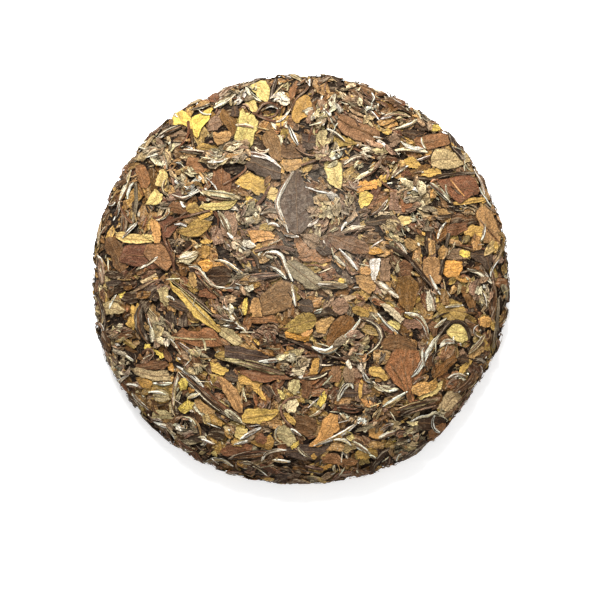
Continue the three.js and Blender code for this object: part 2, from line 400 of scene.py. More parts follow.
# folds, creases and curled edges for a leaf whose corners are known, on what already lies there;
# its colour is painted lighter on the raised folds and pleats and darker in their hollows and
# towards its edges, as painted light and shade
def layGrid(pile, x, y, run, reach, tone, look, back, keep, later):
    v = np.linspace(-1, 1, pile.across + 1)[None, :]
    u = (run / max(run[-1], tiny))[:, None]
    phase = rng.uniform(0, 2 * math.pi, 3)
    folds = np.sin(look["folds"] * v * habits["foldAcross"] + habits["foldAlong"] * u + phase[0])
    folds = folds * np.cos(habits["foldSwing"] * u + v + phase[1])
    swing = habits["pleatSwing"] * np.sin(habits["pleatAlong"] * u + phase[0])
    pleats = np.cos(math.pi * look["pleats"] * v + phase[2] + swing)
    pleats = pleats - pleats.mean()
    lean = rng.uniform(-1, 1)
    shape = look["fold"] * folds + look["pleat"] * pleats + look["lean"] * lean * v
    shape = shape + look["keel"] * rng.choice([-1, 1]) * np.abs(v)
    shape = shape + look["curl"] * np.abs(v) ** 3 * np.where(v * lean > 0, 1, habits["farCurl"])
    shape = shape + look["crown"] * (1 - v**2)
    shape = shape - shape.min()
    top = tent(levelAt(back, x, y)) + look["thick"] + shape
    if later is None:
        press(back, x, y, top, keep)
    else:
        later.append((back, x, y, top, keep))
    i, j = pile.i, pile.j
    out = top[i, j] - np.where(pile.upper, 0, look["thick"])
    # painted light and shade: lighter on the raised pleats and folds, darker in their hollows and
    # towards the edges
    shade = pleats + habits["foldShade"] * folds - habits["edgeShade"] * np.abs(v) ** 2
    shade = 1 + look["shade"] * shade
    x, y, shade = x[i, j], y[i, j], shade[i, j]
    pile.add(x, y, out, back, tone, shade * paintedRimShade(x, y), run[i], reach[i, j])


tubeHabits = {"steepness": 0.98, "uneven": 0.12, "ridgeMiddle": 0.2, "smoothing": 5, "turn": 6}


def layTube(pile, line, half, tone, look, back=False, keep=False):
    run = runAlong(line)
    left = ways(line)[1]
    v = np.linspace(-1, 1, 5)[None, :]
    x = line[:, :1] + left[:, :1] * half[:, None] * v
    y = line[:, 1:] + left[:, 1:] * half[:, None] * v
    low = levelAt(back, x, y).mean(axis=1)
    ends = tubeHabits["smoothing"] // 2
    window = np.full(tubeHabits["smoothing"], 1 / tubeHabits["smoothing"])
    low = np.convolve(np.pad(low, ends, mode="edge"), window, "same")[ends:-ends]
    high = half * look["flat"]
    middle = low + high * (1 - look["sunk"]) + sway(len(line), look["sway"])
    top = middle[:, None] + high[:, None] * np.sqrt(1 - tubeHabits["steepness"] * v**2)
    press(back, x, y, top, keep)
    i, angle = pile.i, pile.angle
    twist = rng.uniform(0, tubeHabits["turn"]) + look["twist"] * run[i] / max(half.max(), 0.3)
    ridge = np.cos(look["strands"] * angle + twist)
    uneven = 1 + rng.uniform(-tubeHabits["uneven"], tubeHabits["uneven"], len(line))
    across = half[i] * uneven[i] * (1 + look["ripple"] * ridge) * np.cos(angle)
    x, y = (line[i, k] + left[i, k] * across for k in (0, 1))
    out = middle[i] + high[i] * (1 + look["ripple"] * ridge) * np.sin(angle)
    # painted light and shade: the tube's raised ridges lighter and its grooves darker
    shade = 1 + look["shade"] * (ridge - tubeHabits["ridgeMiddle"])
    pile.add(x, y, out, back, tone, shade * paintedRimShade(x, y), run[i], half[i] * angle)


# A line beside another one: t says where along it, off how far to its left
def beside(line, left, at, t, off):
    x, y = (np.interp(t, at, line[:, k]) + off * np.interp(t, at, left[:, k]) for k in (0, 1))
    return np.stack([x, y], axis=1)


strandHabits = {
    "starts": (0, 0.4),
    "ends": (0.6, 1),
    "aside": 0.42,  # of the bud's width
    "gather": (0.15, 0.7),  # they come together towards the ends
    "sway": 0.08,
    "width": (0.4, 0.75),
    "blunt": (0.1, 0.1),
    "power": 0.5,
}


# Fine strands along a bud or a rolled leaf, some running on past its ends
def layStrands(line, width, count, shares, back=False):
    pile = piles["fibres"]
    longer = np.concatenate([[2 * line[0] - line[1]], line, [2 * line[-1] - line[-2]]])
    left = ways(longer)[1]
    at = np.linspace(0, 1, len(longer))
    aside, (base, rise) = strandHabits["aside"], strandHabits["gather"]
    for _ in range(count):
        ends = [rng.uniform(*strandHabits[end]) for end in ("starts", "ends")]
        t = np.linspace(*ends, pile.along + 1)
        off = rng.uniform(-aside, aside) * width * np.sin(math.pi * (base + rise * t))
        off = off + sway(len(t), strandHabits["sway"])
        strand = beside(longer, left, at, t, off)
        wide = rng.uniform(*strandHabits["width"])
        half = widths(wide, pile.along, strandHabits["blunt"], strandHabits["power"])
        layLeaf(pile, strand, half, mixed(shares), looks["fibre"], back)


def arcLine(x, y, length, turn, bend, steps):
    t = np.linspace(-0.5, 0.5, steps + 1)
    heading = np.radians(turn + bend * t)
    ahead = np.stack([np.cos(heading), np.sin(heading)], axis=1)
    ahead = (ahead[1:] + ahead[:-1]) / 2 * length / steps
    line = np.concatenate([[[0, 0]], np.cumsum(ahead, axis=0)])
    return line - line.mean(axis=0) + [x, y]


def drawnLine(points, steps):
    line = np.array(points, float).reshape(-1, 2)
    for _ in range(2):  # cut the corners
        inner = [line[:-1] * 0.75 + line[1:] * 0.25, line[:-1] * 0.25 + line[1:] * 0.75]
        inner = np.stack(inner, axis=1).reshape(-1, 2)
        line = np.concatenate([line[:1], inner, line[-1:]])
    return evenly(line, steps)


# blunt: how much of each end is missing; power: under 1 gives fuller sides
def widths(width, steps, blunt, power, skew=1.0):
    t = np.linspace(0, 1, steps + 1) ** skew
    t = blunt[0] + (1 - blunt[0] - blunt[1]) * t
    return width / 2 * np.sin(math.pi * t) ** power


# The straight edges of a torn piece: two ends and two corners on each side
tornEdge = {
    "firstCorner": (0.12, 0.45),
    "secondCorner": (0.55, 0.88),
    "narrowest": [0.3, 0.8, 0.7, 0.3],
    "widest": [1, 1.1, 1.05, 1],
}


def tornWidths(width, steps):
    t = np.linspace(0, 1, steps + 1)
    sides = []
    for _ in range(2):
        corners = [rng.uniform(*tornEdge[corner]) for corner in ("firstCorner", "secondCorner")]
        wide = rng.uniform(tornEdge["narrowest"], tornEdge["widest"])
        wide[rng.choice([0, 3])] *= rng.uniform(0, 1)
        sides.append(np.interp(t, [0, *corners, 1], wide))
    return width / 2 * np.stack(sides, axis=1)


# Colours, as seen under white light
tones = {
    "white": "c6bfac",
    "cream": "bcb093",
    "beige": "9e8962",
    "downy": "bba983",
    "grey": "766850",
    "taupe": "7c604a",
    "tan": "957246",
    "brown": "5d4128",
    "olive": "8b703b",
    "darkOlive": "664724",
    "yellow": "c0a54f",
    "straw": "b39c60",
    "ochre": "ab8847",
    "golden": "93703a",
    "amber": "b88440",
    "orange": "ae7f4a",
    "rust": "7c5434",
    "redBrown": "69452d",
    "darkRed": "5c3d2a",
    "dark": "36271a",
    "charcoal": "403329",
    "pink": "96795a",
    "midTan": "765638",
    "hazel": "8d6b3e",
    "sand": "a58a58",
    "umber": "6f4e2b",
    "fawn": "836036",
    "khaki": "9c7f4c",
}
yellowTones = ("yellow", "straw", "ochre", "amber", "golden", "orange")
hueSpread = 0.05
strewnSpread = 0.22


def linear(text):
    values = np.array([int(text[i : i + 2], 16) for i in (0, 2, 4)]) / 255
    return np.where(values < 0.04045, values / 12.92, ((values + 0.055) / 1.055) ** 2.4)


def toned(name, spread):
    shade = linear(tones[name]) * rng.uniform(1 - spread, 1 + spread)
    return np.clip(shade * (1 + rng.uniform(-hueSpread, hueSpread, 3)), 0, 1)


def mixed(shares):
    names = list(shares)
    parts = np.array([shares[n] for n in names], float)
    return toned(names[rng.choice(len(names), p=parts / parts.sum())], strewnSpread)


piles = {
    name: Pile(name, *make)
    for name, make in {
        "bedLeaves": (leafBlank, 5, 3),
        "broadLeaves": (leafBlank, 12, 6),
        "yellowLeaves": (leafBlank, 12, 6),
        "leafScraps": (leafBlank, 6, 3),
        "topScraps": (leafBlank, 6, 3),
        "backScraps": (leafBlank, 5, 3),
        "crumpledLeaves": (leafBlank, 7, 2),
        "paleShreds": (leafBlank, 7, 2),
        "downyShreds": (leafBlank, 10, 4),
        "rolledLeaves": (tubeBlank, 14, 12),
        "silverBuds": (tubeBlank, 14, 8),
        "stalks": (tubeBlank, 10, 6),
        "fibres": (leafBlank, 8, 1),
        "crumbs": (leafBlank, 2, 1),
    }.items()
}

# How each kind bends: mm for heights, shares of the width for torn edges, waves for folds; shade:
# how much lighter its ridges and how much darker its hollows and edges are painted, as painted
# light and shade
flatLeaf = dict(
    torn=0.08, ragged=1.0, folds=0.7, fold=0.12, lean=0.16, curl=0.2, crown=0.05, thick=0.2,
    pleats=2, pleat=0.03, keel=0.12, shade=0.15,
)
plainLeaf = flatLeaf | dict(pleat=0, keel=0, shade=0, curl=0)
narrowLeaf = flatLeaf | dict(crown=0.35, keel=0)
looks = {
    "bed": flatLeaf | dict(torn=0.2, fold=0.25, lean=0.2, crown=0.1),
    "leaf": flatLeaf,
    "strip": flatLeaf | dict(fold=0.1, lean=0.25, curl=0.3, crown=0.15, thick=0.25),
    "scrap": flatLeaf
    | dict(torn=0.12, folds=1, fold=0.16, lean=0.3, curl=0.25, pleat=0.06, shade=0.3),
    "shred": narrowLeaf | dict(torn=0.25, ragged=1.5, pleats=2.5, pleat=0.16, shade=0.5),
    "strand": narrowLeaf
    | dict(torn=0.15, ragged=0.5, pleats=1, pleat=0.1, shade=0.45, lean=0.1),
    "fibre": plainLeaf | dict(torn=0.15, ragged=0.2, fold=0.05, lean=0.05, thick=0.3),
    "rib": plainLeaf | dict(torn=0.1, ragged=0, fold=0.02, lean=0, thick=0.25),
    "crumb": flatLeaf | dict(torn=0.3, ragged=0.6, lean=0.25, curl=0.1, thick=0.25),
    "roll": dict(flat=0.5, sunk=0.55, sway=0.08, twist=0.4, ripple=0.17, strands=5, shade=0.45),
    "bud": dict(flat=0.6, sunk=0.5, sway=0.1, twist=0.25, ripple=0.12, strands=3, shade=0.28),
    "stalk": dict(flat=0.75, sunk=0.45, sway=0.1, twist=0.2, ripple=0.06, strands=2, shade=0.2),
}


# Places all over the face or the back, spread evenly by a spiral and then moved a little
def spread(count, high, jitter, low=0):
    k = (np.arange(count) + 0.5) / count
    reach = np.sqrt(low**2 + (high**2 - low**2) * k)
    angle = np.arange(count) * goldenAngle
    x = reach * np.cos(angle) + rng.uniform(-jitter, jitter, count)
    y = reach * np.sin(angle) + rng.uniform(-jitter, jitter, count)
    order = rng.permutation(count)
    return zip(x[order], y[order])


def spotsNear(x, y, reach, count):
    return [(x + a, y + b) for a, b in spread(count, reach, jitter=1)]


def isTaken(back, x, y):
    ix, iy = cellsAt(np.array(x), np.array(y))
    return taken[back][iy, ix]


# the places where a strewn piece may lie: all of them, or those that no drawn leaf has taken
def free(places, back, gapsOnly):
    for x, y in places:
        if not (gapsOnly and isTaken(back, x, y)):
            yield x, y


drift = {
    "rim": 96,
    "rimSpread": 35,
    "near": 14,
    "nearSpread": 28,
    "farSpread": 45,
    "waves": ((120, 31, 0.7), (90, 23, 0)),  # degrees, mm for each radian, radians
}


# Which way a piece lies: much as the drawn pieces near it, and along the rim at the side
def wayAt(x, y, back):
    away = np.hypot(drawnWays[:, 0] - x, drawnWays[:, 1] - y)
    if math.hypot(x, y) > drift["rim"]:
        return math.degrees(math.atan2(y, x)) + 90 + rng.normal(0, drift["rimSpread"])
    if back or away.min() > drift["near"]:
        (wide, length, start), (wideY, lengthY, startY) = drift["waves"]
        way = wide * math.sin(x / length + start) + wideY * math.sin(y / lengthY + startY)
        return way + rng.normal(0, drift["farSpread"])
    return drawnWays[away.argmin(), 2] + rng.normal(0, drift["nearSpread"])


strewing = {
    "leafBend": 18,
    "tornShare": 0.7,
    "leafBlunt": (0.02, 0.2),
    "leafPower": (0.6, 1),
    "tubeBlunt": (0.02, 0.12),
    "tubePower": 0.7,
    "tubeSkew": (0.7, 1.4),
}


def strewLeaves(pileName, lookName, shares, places, length, shape, back=False, gapsOnly=False):
    pile = piles[pileName]
    for x, y in free(places, back, gapsOnly):
        long = rng.uniform(*length)
        width = long * rng.uniform(*shape)
        way = wayAt(x, y, back)
        line = arcLine(x, y, long, way, rng.normal(0, strewing["leafBend"]), pile.along)
        if rng.random() < strewing["tornShare"]:
            half = tornWidths(width, pile.along)
        else:
            blunt = rng.uniform(*strewing["leafBlunt"], 2)
            half = widths(width, pile.along, blunt, rng.uniform(*strewing["leafPower"]))
        layLeaf(pile, line, half, mixed(shares), looks[lookName], back)


def strewTubes(
    pileName, lookName, shares, places, length, width, bend, strands=0, back=False, gapsOnly=False
):
    pile = piles[pileName]
    for x, y in free(places, back, gapsOnly):
        long = rng.uniform(*length)
        wide = rng.uniform(*width)
        line = arcLine(x, y, long, wayAt(x, y, back), rng.normal(0, bend), pile.along)
        blunt = rng.uniform(*strewing["tubeBlunt"], 2)
        skew = rng.uniform(*strewing["tubeSkew"])
        half = widths(wide, pile.along, blunt, strewing["tubePower"], skew)
        layTube(pile, line, half, mixed(shares), looks[lookName], back)
        layStrands(line, wide, strands, strandShares, back)


# Crumpled leaves: a few strands side by side that bend together
tuft = {
    "steps": 12,
    "bend": 75,
    "strands": (3, 7),
    "gap": (0.6, 1.0),
    "stray": 0.5,
    "sway": 0.3,
    "splay": 0.12,
    "starts": (0, 0.3),
    "ends": (0.7, 1),
    "width": (0.5, 1.4),
    "blunt": (0.08, 0.08),
    "power": 0.6,
    "shade": (0.35, 1.35),
    "palest": 0.75,
}


def strewTufts(places, length, shares, back=False, gapsOnly=False):
    pile = piles["paleShreds" if shares is paleTufts else "crumpledLeaves"]
    steps = tuft["steps"]
    for x, y in free(places, back, gapsOnly):
        way = wayAt(x, y, back)
        middle = arcLine(x, y, rng.uniform(*length), way, rng.normal(0, tuft["bend"]), steps)
        left = ways(middle)[1]
        tone = mixed(shares)
        count = rng.integers(*tuft["strands"])
        gap = rng.uniform(*tuft["gap"])
        later = []
        for k in range(count):
            ends = [rng.uniform(*tuft[end]) for end in ("starts", "ends")]
            t = np.linspace(*ends, pile.along + 1) * steps
            off = (k - (count - 1) / 2) * gap + rng.normal(0, tuft["stray"])
            off = off + sway(len(t), tuft["sway"])
            off = off + rng.normal(0, tuft["splay"]) * (t - steps / 2)
            line = beside(middle, left, range(steps + 1), t, off)
            half = widths(rng.uniform(*tuft["width"]), pile.along, tuft["blunt"], tuft["power"])
            strand = np.clip(tone * rng.uniform(*tuft["shade"]), 0, tuft["palest"])
            layLeaf(pile, line, half, strand, looks["strand"], back, False, later)
        for laid in later:
            press(*laid)


# How much of each tone there is among the strewn pieces
bedShares = {"dark": 3, "charcoal": 2, "darkRed": 2, "brown": 3, "redBrown": 2, "darkOlive": 1.5}
leafShares = {
    "brown": 3, "rust": 1.2, "redBrown": 1, "tan": 3, "midTan": 3, "olive": 2, "darkOlive": 2.5,
    "fawn": 2, "umber": 2, "taupe": 2.5, "charcoal": 1.5, "dark": 1.2, "ochre": 1, "golden": 1,
    "khaki": 1, "beige": 1, "darkRed": 1,
}
scrapShares = {
    "brown": 3, "rust": 1.5, "redBrown": 1, "tan": 3, "midTan": 3, "olive": 2, "darkOlive": 2,
    "fawn": 2.5, "umber": 2, "taupe": 2.5, "charcoal": 2, "dark": 2.5, "ochre": 1.5,
    "golden": 1.2, "khaki": 1.5, "beige": 2, "cream": 0.7, "grey": 1.5, "orange": 1, "pink": 1,
    "darkRed": 1.2, "yellow": 0.12,
}
budShares = {"cream": 3, "white": 3, "downy": 2, "beige": 1}
rollShares = {
    "brown": 2, "dark": 2, "charcoal": 2, "darkRed": 2, "taupe": 2, "grey": 1.5, "rust": 1,
    "beige": 1,
}
stalkShares = {"darkRed": 3, "redBrown": 3, "brown": 2, "dark": 2, "taupe": 1, "tan": 1}
tuftShares = {
    "taupe": 3, "grey": 3, "beige": 3, "downy": 2, "brown": 3, "tan": 2, "rust": 2,
    "charcoal": 2, "cream": 1.5, "darkRed": 1.5, "pink": 1,
}
strandShares = {"dark": 2, "cream": 0.8, "beige": 1.5, "taupe": 3, "darkRed": 2, "brown": 2}
fibreShares = {
    "cream": 3, "white": 2, "beige": 2, "dark": 3, "darkRed": 2, "tan": 1, "grey": 1,
}
paleTufts = {
    "beige": 4, "downy": 3, "grey": 4, "cream": 1.5, "taupe": 3, "pink": 3, "tan": 1.5,
    "brown": 1.5, "white": 0.5,
}
warmShares = {
    "ochre": 3, "tan": 3, "hazel": 3, "sand": 2, "golden": 2, "straw": 1, "orange": 1,
}
crumbShares = {
    "dark": 4, "brown": 3, "rust": 2, "tan": 2, "beige": 2, "cream": 1.5, "ochre": 1,
    "taupe": 2, "white": 0.5,
}

# The leaves that show most on the face: x, y, length, width, turn, tone
faceLeaves = [
    (-57, 66.5, 6, 3, 0, "brown"), (-55.5, 47.5, 6, 5, 0, "charcoal"), (-20, 62, 8, 8, 0, "dark"),
    (10, 37, 11, 5, 0, "beige"), (41, 70, 4, 3, 0, "ochre"), (49, 39, 8, 4, 0, "beige"),
    (56, 38, 10, 8, 0, "beige"), (80, 37, 15, 2.5, 12, "ochre"), (-45, 17, 6, 2.5, 0, "ochre"),
    (-45, 5.5, 6, 6, 0, "amber"), (-62, -20, 8, 6, 90, "charcoal"),
    (-57, -13, 10, 5, -30, "charcoal"), (-56, -21, 6, 5, 90, "charcoal"),
    (-97, -3, 6, 3, 90, "brown"), (-93, 1, 6, 4, 90, "beige"), (-34, 25, 12, 8, 90, "taupe"),
    (15, -4, 14, 4, 0, "grey"), (-23, -3.5, 8, 3.5, 0, "golden"), (-1, -27.5, 12, 3.5, 0, "amber"),
    (-18, -20, 12, 4, 0, "rust"), (-26.5, -14, 8, 2.5, 85, "yellow"),
    (-32.5, -15, 4, 2, 0, "yellow"), (-33, -28, 12, 6, -35, "beige"), (38, 27, 15, 4, 10, "dark"),
    (35, 12.5, 7, 4, 0, "amber"), (66.5, -7.5, 5, 4, 0, "golden"), (64, -11, 2, 2, 0, "yellow"),
    (95, -2, 5, 5, 0, "rust"), (-61.5, -42.5, 4, 3, 90, "amber"), (-54.5, -61, 7, 4, 30, "yellow"),
    (-66, -56, 7, 6, 0, "beige"), (-66, -65, 9, 5, 0, "beige"), (-40, -74, 8, 7, 0, "dark"),
    (22, -55, 10, 4, 0, "charcoal"), (28, -53, 9, 2, 85, "ochre"), (23, -88, 8, 4, 0, "rust"),
    (45, -70, 6, 5, 0, "beige"),
]

# The same for leaves whose outline is drawn: tone, left edge and right edge from end to end
drawnLeaves = [
    ("yellow", (-59.5, 79.8, -61.2, 76.6, -60.3, 72.8, -56.5, 73.4, -52.4, 70.6, -50.2, 67.2),
     (-56.7, 80.4, -54, 79, -52.4, 77.2, -51.3, 73.2, -49.9, 67)),
    ("yellow", (-49.7, 66.4, -51.1, 69.5, -52, 73.5, -51.9, 77.2, -47.6, 79.2, -42.4, 82),
     (-49.4, 66.4, -47, 72, -43.4, 76.6, -42.2, 81.6)),
    ("taupe", (-44.4, 72.7, -44.1, 75.1, -42.9, 77, -39.6, 77.7, -37.8, 75),
     (-44, 70.5, -42, 70.3, -40, 71.2, -37.6, 73)),
    ("darkOlive", (-36.7, 81.3, -33.8, 77.5, -30.6, 75.3, -31.2, 71, -32.3, 68.2),
     (-37.8, 81.2, -38.8, 78, -37.2, 73.5, -35.2, 71.2, -32.8, 68)),
    ("tan", (-42.2, 69.3, -38.1, 70, -34.2, 70.5, -33.1, 68.4),
     (-41.9, 67.5, -41.3, 65, -39.8, 63, -37, 64, -34, 66.2)),
    ("olive", (-50, 62.3, -47, 65, -43, 63.5, -39, 62.5, -34.5, 65),
     (-49, 61.3, -44, 60.2, -38, 60.3, -33.5, 63)),
    ("rust", (-54.7, 54, -53.5, 57.8, -49.2, 57.3, -46.3, 55.9, -44.4, 52.8),
     (-54.4, 52, -53, 50.1, -49.2, 49.6, -45.8, 50.1, -44.4, 52.3)),
    ("redBrown", (-38.5, 40.8, -42, 42.4, -42.4, 46.8, -42, 51.1, -39.6, 54.4, -37.2, 55.3),
     (-35, 40.5, -33.3, 40.7, -32.6, 45, -33.8, 49.2, -34.8, 54, -36, 55.3)),
    ("straw", (-48.4, 33.3, -46.8, 34.8, -42, 35.2, -35.2, 35.8, -30, 36.4),
     (-48.2, 33, -44.8, 32.2, -40.5, 31.8, -34.8, 32.3, -32.5, 34.2, -30.2, 36)),
    ("straw", (-69.3, 44.2, -68.6, 47.5, -67.5, 50, -66.2, 52),
     (-65.2, 43.2, -63.4, 46, -63, 49, -64, 51.5)),
    ("straw", (-73.6, 34.6, -72.2, 37.4, -70.8, 40.4, -69, 42.5),
     (-70, 34.7, -67.5, 34.9, -66, 36.5, -65.3, 39.2, -68, 41.8)),
    ("downy", (-69, 54.6, -71.2, 56.4, -71.3, 59, -70.3, 62.1, -68.5, 63.1),
     (-67, 54.4, -65, 56, -64.3, 59, -65, 61.5, -67.2, 63.1)),
    ("rust", (-75.6, 43, -77.5, 47, -78.5, 51, -78.3, 54),
     (-73, 42.4, -71.2, 45.3, -72.3, 50, -73.5, 53.5, -76, 54.6)),
    ("redBrown", (-45, 88.5, -44, 90, -40.5, 90, -36, 88),
     (-44.6, 87.5, -42.5, 84.8, -40, 83.6, -37.5, 85.5, -36, 87.5)),
    ("tan", (-50.6, 83, -48.5, 85, -46, 85.5, -43.5, 84.6, -41.5, 83),
     (-50.4, 82.4, -47.5, 82.3, -44, 82.6, -41.7, 82.7)),
    ("charcoal", (-31, 85.3, -29.6, 80, -29.3, 77.2), (-32.5, 84, -33.6, 80, -33.5, 77.3)),
    ("olive", (-54.8, 32, -53.4, 34.8, -50.2, 36, -48.4, 33.6, -46.5, 31.6),
     (-54.5, 31.2, -52, 30.2, -49, 30, -46.6, 31.2)),
    ("brown", (-63.5, 33, -61, 36, -58, 36.2, -55.5, 33.5, -53.8, 31),
     (-63, 32, -60, 30.5, -56, 30, -54, 30.4)),
    ("straw", (-27.6, 60.2, -28.8, 62.8, -32.4, 67.6, -31, 70.8, -30, 74.6, -29.3, 79.4,
      -28.1, 81.3),
     (-25, 60.2, -24.5, 62, -22.8, 64.5, -22.7, 68.4, -20.9, 70.8, -20.4, 74.6, -23.3, 78.9,
      -25.5, 77.5)),
    ("straw", (-25.6, 87, -22, 85.5, -20.6, 82, -20.3, 78.5),
     (-27, 84, -25, 81.5, -22.5, 79.2, -20.7, 78)),
    ("straw", (-24.6, 94.5, -20.2, 95.9, -16.8, 95.2, -15.2, 91.5, -15, 88, -15.8, 85),
     (-25, 93, -24.2, 91.3, -22, 89.3, -20, 86.5, -17, 85)),
    ("cream", (-13.6, 88, -11, 89.6, -8, 88, -5.5, 85.5),
     (-13.3, 86.5, -11, 84.4, -8, 82.6, -5.4, 83.5)),
    ("golden", (-2, 73.8, -4.2, 76, -4.8, 80, -4, 83.5, -1.5, 86.2, 1.5, 88.2),
     (-1.2, 74, 1, 77, 4, 77.5, 5.6, 80.5, 5.4, 84, 3.5, 87.8)),
    ("rust", (-5.8, 84, -5.5, 90, -3, 94.5, -0.5, 97.5),
     (-4.5, 85, -2.8, 89.5, -1, 93.5, 0.4, 97)),
    ("olive", (14.4, 70.9, 17.3, 70, 20.2, 67.6, 26.6, 64.2),
     (14.4, 68, 15.2, 65, 18, 62.1, 22, 63.2, 26.4, 63.6)),
    ("midTan", (14.4, 80.6, 16.5, 80.3, 20.2, 78.2, 24, 77.2, 28.8, 77.3, 32.6, 75.2, 35.3, 72.2,
      37.6, 69.8),
     (14.4, 79.6, 14.9, 75.1, 18.3, 71.2, 21.6, 67.4, 26.4, 65, 31.2, 64.4, 35.3, 65.4,
      37.6, 68.2)),
    ("beige", (10.3, 62, 8.6, 64.5, 7.2, 66.6, 7, 70.2), (10.8, 62.2, 12, 66, 12.4, 70.9)),
    ("midTan", (-14.4, 74.2, -13, 70, -10.1, 65.5, -9.1, 60.2, -8.6, 57, -9.5, 55.3),
     (-15.4, 74, -16.8, 70.8, -19.2, 66.4, -16.8, 62.1, -14.9, 57.8, -10.5, 55.3)),
    ("brown", (-9.6, 64.2, -7.2, 63, -4.8, 64.6, -2.5, 62, -0.3, 60.5),
     (-9.4, 58, -8.2, 56.8, -5.3, 56.7, -0.3, 57.2)),
    ("tan", (-8.5, 56, -4, 56.3, 0, 56.4, 1.2, 54), (-8.2, 52.5, -7, 50.1, -3.5, 51, 0.8, 53)),
    ("charcoal", (-30.5, 57.5, -26, 59, -20, 58.2, -15.8, 56.5, -12, 54.5, -9.6, 52),
     (-30.2, 57, -26, 53, -20.2, 48.7, -14.9, 46.3, -9.8, 47)),
    ("ochre", (-31.5, 45, -26.4, 49.3, -24.5, 49.8, -21.1, 48.3, -14.7, 44.6),
     (-31.2, 44.4, -27, 42.5, -23, 40.5, -18.7, 38, -15.2, 41.3)),
    ("straw", (-16.8, 40.5, -14.4, 43, -11, 42), (-16.6, 37.8, -13, 36.2, -11.4, 38.6)),
    ("yellow", (-26.4, 38.7, -24, 38.2, -20.6, 36.4), (-26, 34, -24.5, 34.6, -20.8, 36)),
    ("charcoal", (-2.5, 20.3, -6.5, 23, -9.6, 29, -10.5, 35.7, -9.1, 41, -5.8, 47.5, -2, 51),
     (-0.5, 20.3, 3.5, 24, 5.8, 29, 6.2, 34, 5.4, 38.5, 3, 42.5, 1, 46.5, -0.8, 51)),
    ("straw", (17.6, 42.1, 15.5, 43.4, 12.5, 45.3, 12, 49.2, 10.3, 53.8, 12, 55.4),
     (18.6, 42, 19.8, 46.8, 19.8, 51.6, 19.2, 54.4, 15.8, 56)),
    ("amber", (26, 40.5, 27.4, 45.4, 31.5, 46, 36, 46.4), (26.2, 39.8, 31.2, 41.8, 36, 42.2)),
    ("yellow", (27.4, 36, 27.9, 40, 31.2, 41.2, 34.2, 38.4), (28.2, 32.8, 32.2, 34.6, 34, 37.8)),
    ("charcoal", (0.5, 69, 4, 68.5, 7, 68), (0.5, 63, 3, 60.5, 7, 61.5)),
    ("dark", (47, 70, 50.2, 71.3, 55, 71, 60, 70.2), (48, 69, 51, 67.5, 53.8, 66.2, 57, 68.5)),
    ("dark", (55, 75.5, 58, 76, 60.5, 74.5), (54.5, 72, 58, 71, 61.8, 71)),
    ("rust", (53.5, 66, 55.4, 67.4, 59.8, 68.8, 66.5, 70.9, 70, 70.3, 73.2, 68),
     (54.5, 64, 56.9, 62, 60.7, 61.6, 64.6, 62.6, 69.4, 64, 72.5, 66.8)),
    ("yellow", (60.2, 75.8, 63, 75.2, 67.6, 73.8), (60.5, 73.5, 62.6, 70.8, 66.5, 72)),
    ("taupe", (40.6, 66, 43, 68.4, 44.6, 69.4, 47.2, 68.6),
     (40.8, 64, 42.5, 62.2, 45.4, 63.6, 47.4, 66)),
    ("beige", (61.5, 57, 62.8, 61, 66.5, 62.6, 71, 60.5, 80, 60),
     (62, 53.2, 66, 52.2, 71, 52.2, 76, 54, 80, 56)),
    ("ochre", (49, 56.5, 53, 58, 55.2, 56, 57, 53), (49.4, 55, 51, 53.2, 53.5, 52.2, 56.4, 51.6)),
    ("darkOlive", (53.5, 50.6, 56, 52.8, 58.8, 54.6, 61.7, 54),
     (54, 48.7, 57.8, 48.1, 60.7, 51, 61.6, 53.4)),
    ("ochre", (57, 50.5, 61, 52.2, 66, 52), (57, 48.5, 61.5, 48, 66.5, 50)),
    ("redBrown", (63.6, 46, 69.8, 47.9, 76, 48.9, 81, 49.2, 83, 46.3, 85.2, 42.9),
     (65, 44.4, 68.4, 41, 71.8, 38.1, 75.1, 35.2, 80.4, 39, 84.7, 40.6)),
    ("darkRed", (47.3, 49.4, 50.2, 51.7, 52.6, 49.4), (47.5, 49, 50.6, 46.7, 52.5, 49)),
    ("taupe", (41.5, 32, 42, 38, 42, 42.5), (45.5, 32, 46.3, 37, 45, 41.5)),
    ("rust", (46.8, 37.4, 49.2, 36.4, 52, 36.4, 53.4, 34.2), (47.8, 31, 50.6, 31.8, 53.3, 33.6)),
    ("ochre", (33, 44.5, 38, 48.5, 42, 49.5), (33.5, 43, 38, 44, 42.5, 47.5)),
    ("darkRed", (-70.8, 29, -66, 29.4, -61.2, 29.4, -58.2, 27),
     (-68.8, 27.3, -66, 24, -64.3, 18, -61.6, 19.8, -59, 23.8)),
    ("brown", (-86.2, 2.2, -90, 7.2, -90.6, 10.6, -93.8, 13.9, -93.4, 17.5, -92.2, 19.8),
     (-83.4, 2.4, -82.6, 5.3, -84, 9.1, -84.5, 15.4, -86.1, 17, -89, 19.8)),
    ("darkRed", (-86.2, 9, -84.2, 15.8, -78, 15.5, -73.4, 15.8, -71, 10, -66.8, 6.5),
     (-86, 7.7, -80.8, 6.2, -76, 5.2, -71.2, 3.8, -67, 4.3)),
    ("midTan", (-74.6, 11.3, -73.2, 15.9, -66.5, 16.4, -64, 14, -61.5, 10.1),
     (-74.4, 10.8, -71.2, 7.6, -67.4, 5.3, -63.6, 2.7, -61, 6.7)),
    ("straw", (-88.6, 22.2, -83.7, 21.7, -78.9, 20.7, -74.6, 19.8, -70.3, 18),
     (-87.6, 19.8, -85.2, 17.3, -81.3, 16.2, -75.1, 16.2, -70.6, 17)),
    ("straw", (-75.5, 20.6, -72, 20.4, -69.6, 20), (-75, 20, -72, 18.2, -69.5, 17)),
    ("orange", (-69.4, 16.3, -69.9, 19.2, -71.8, 25, -71, 28),
     (-66.9, 16.3, -66.4, 20.6, -66.5, 24.5, -69.2, 27.5)),
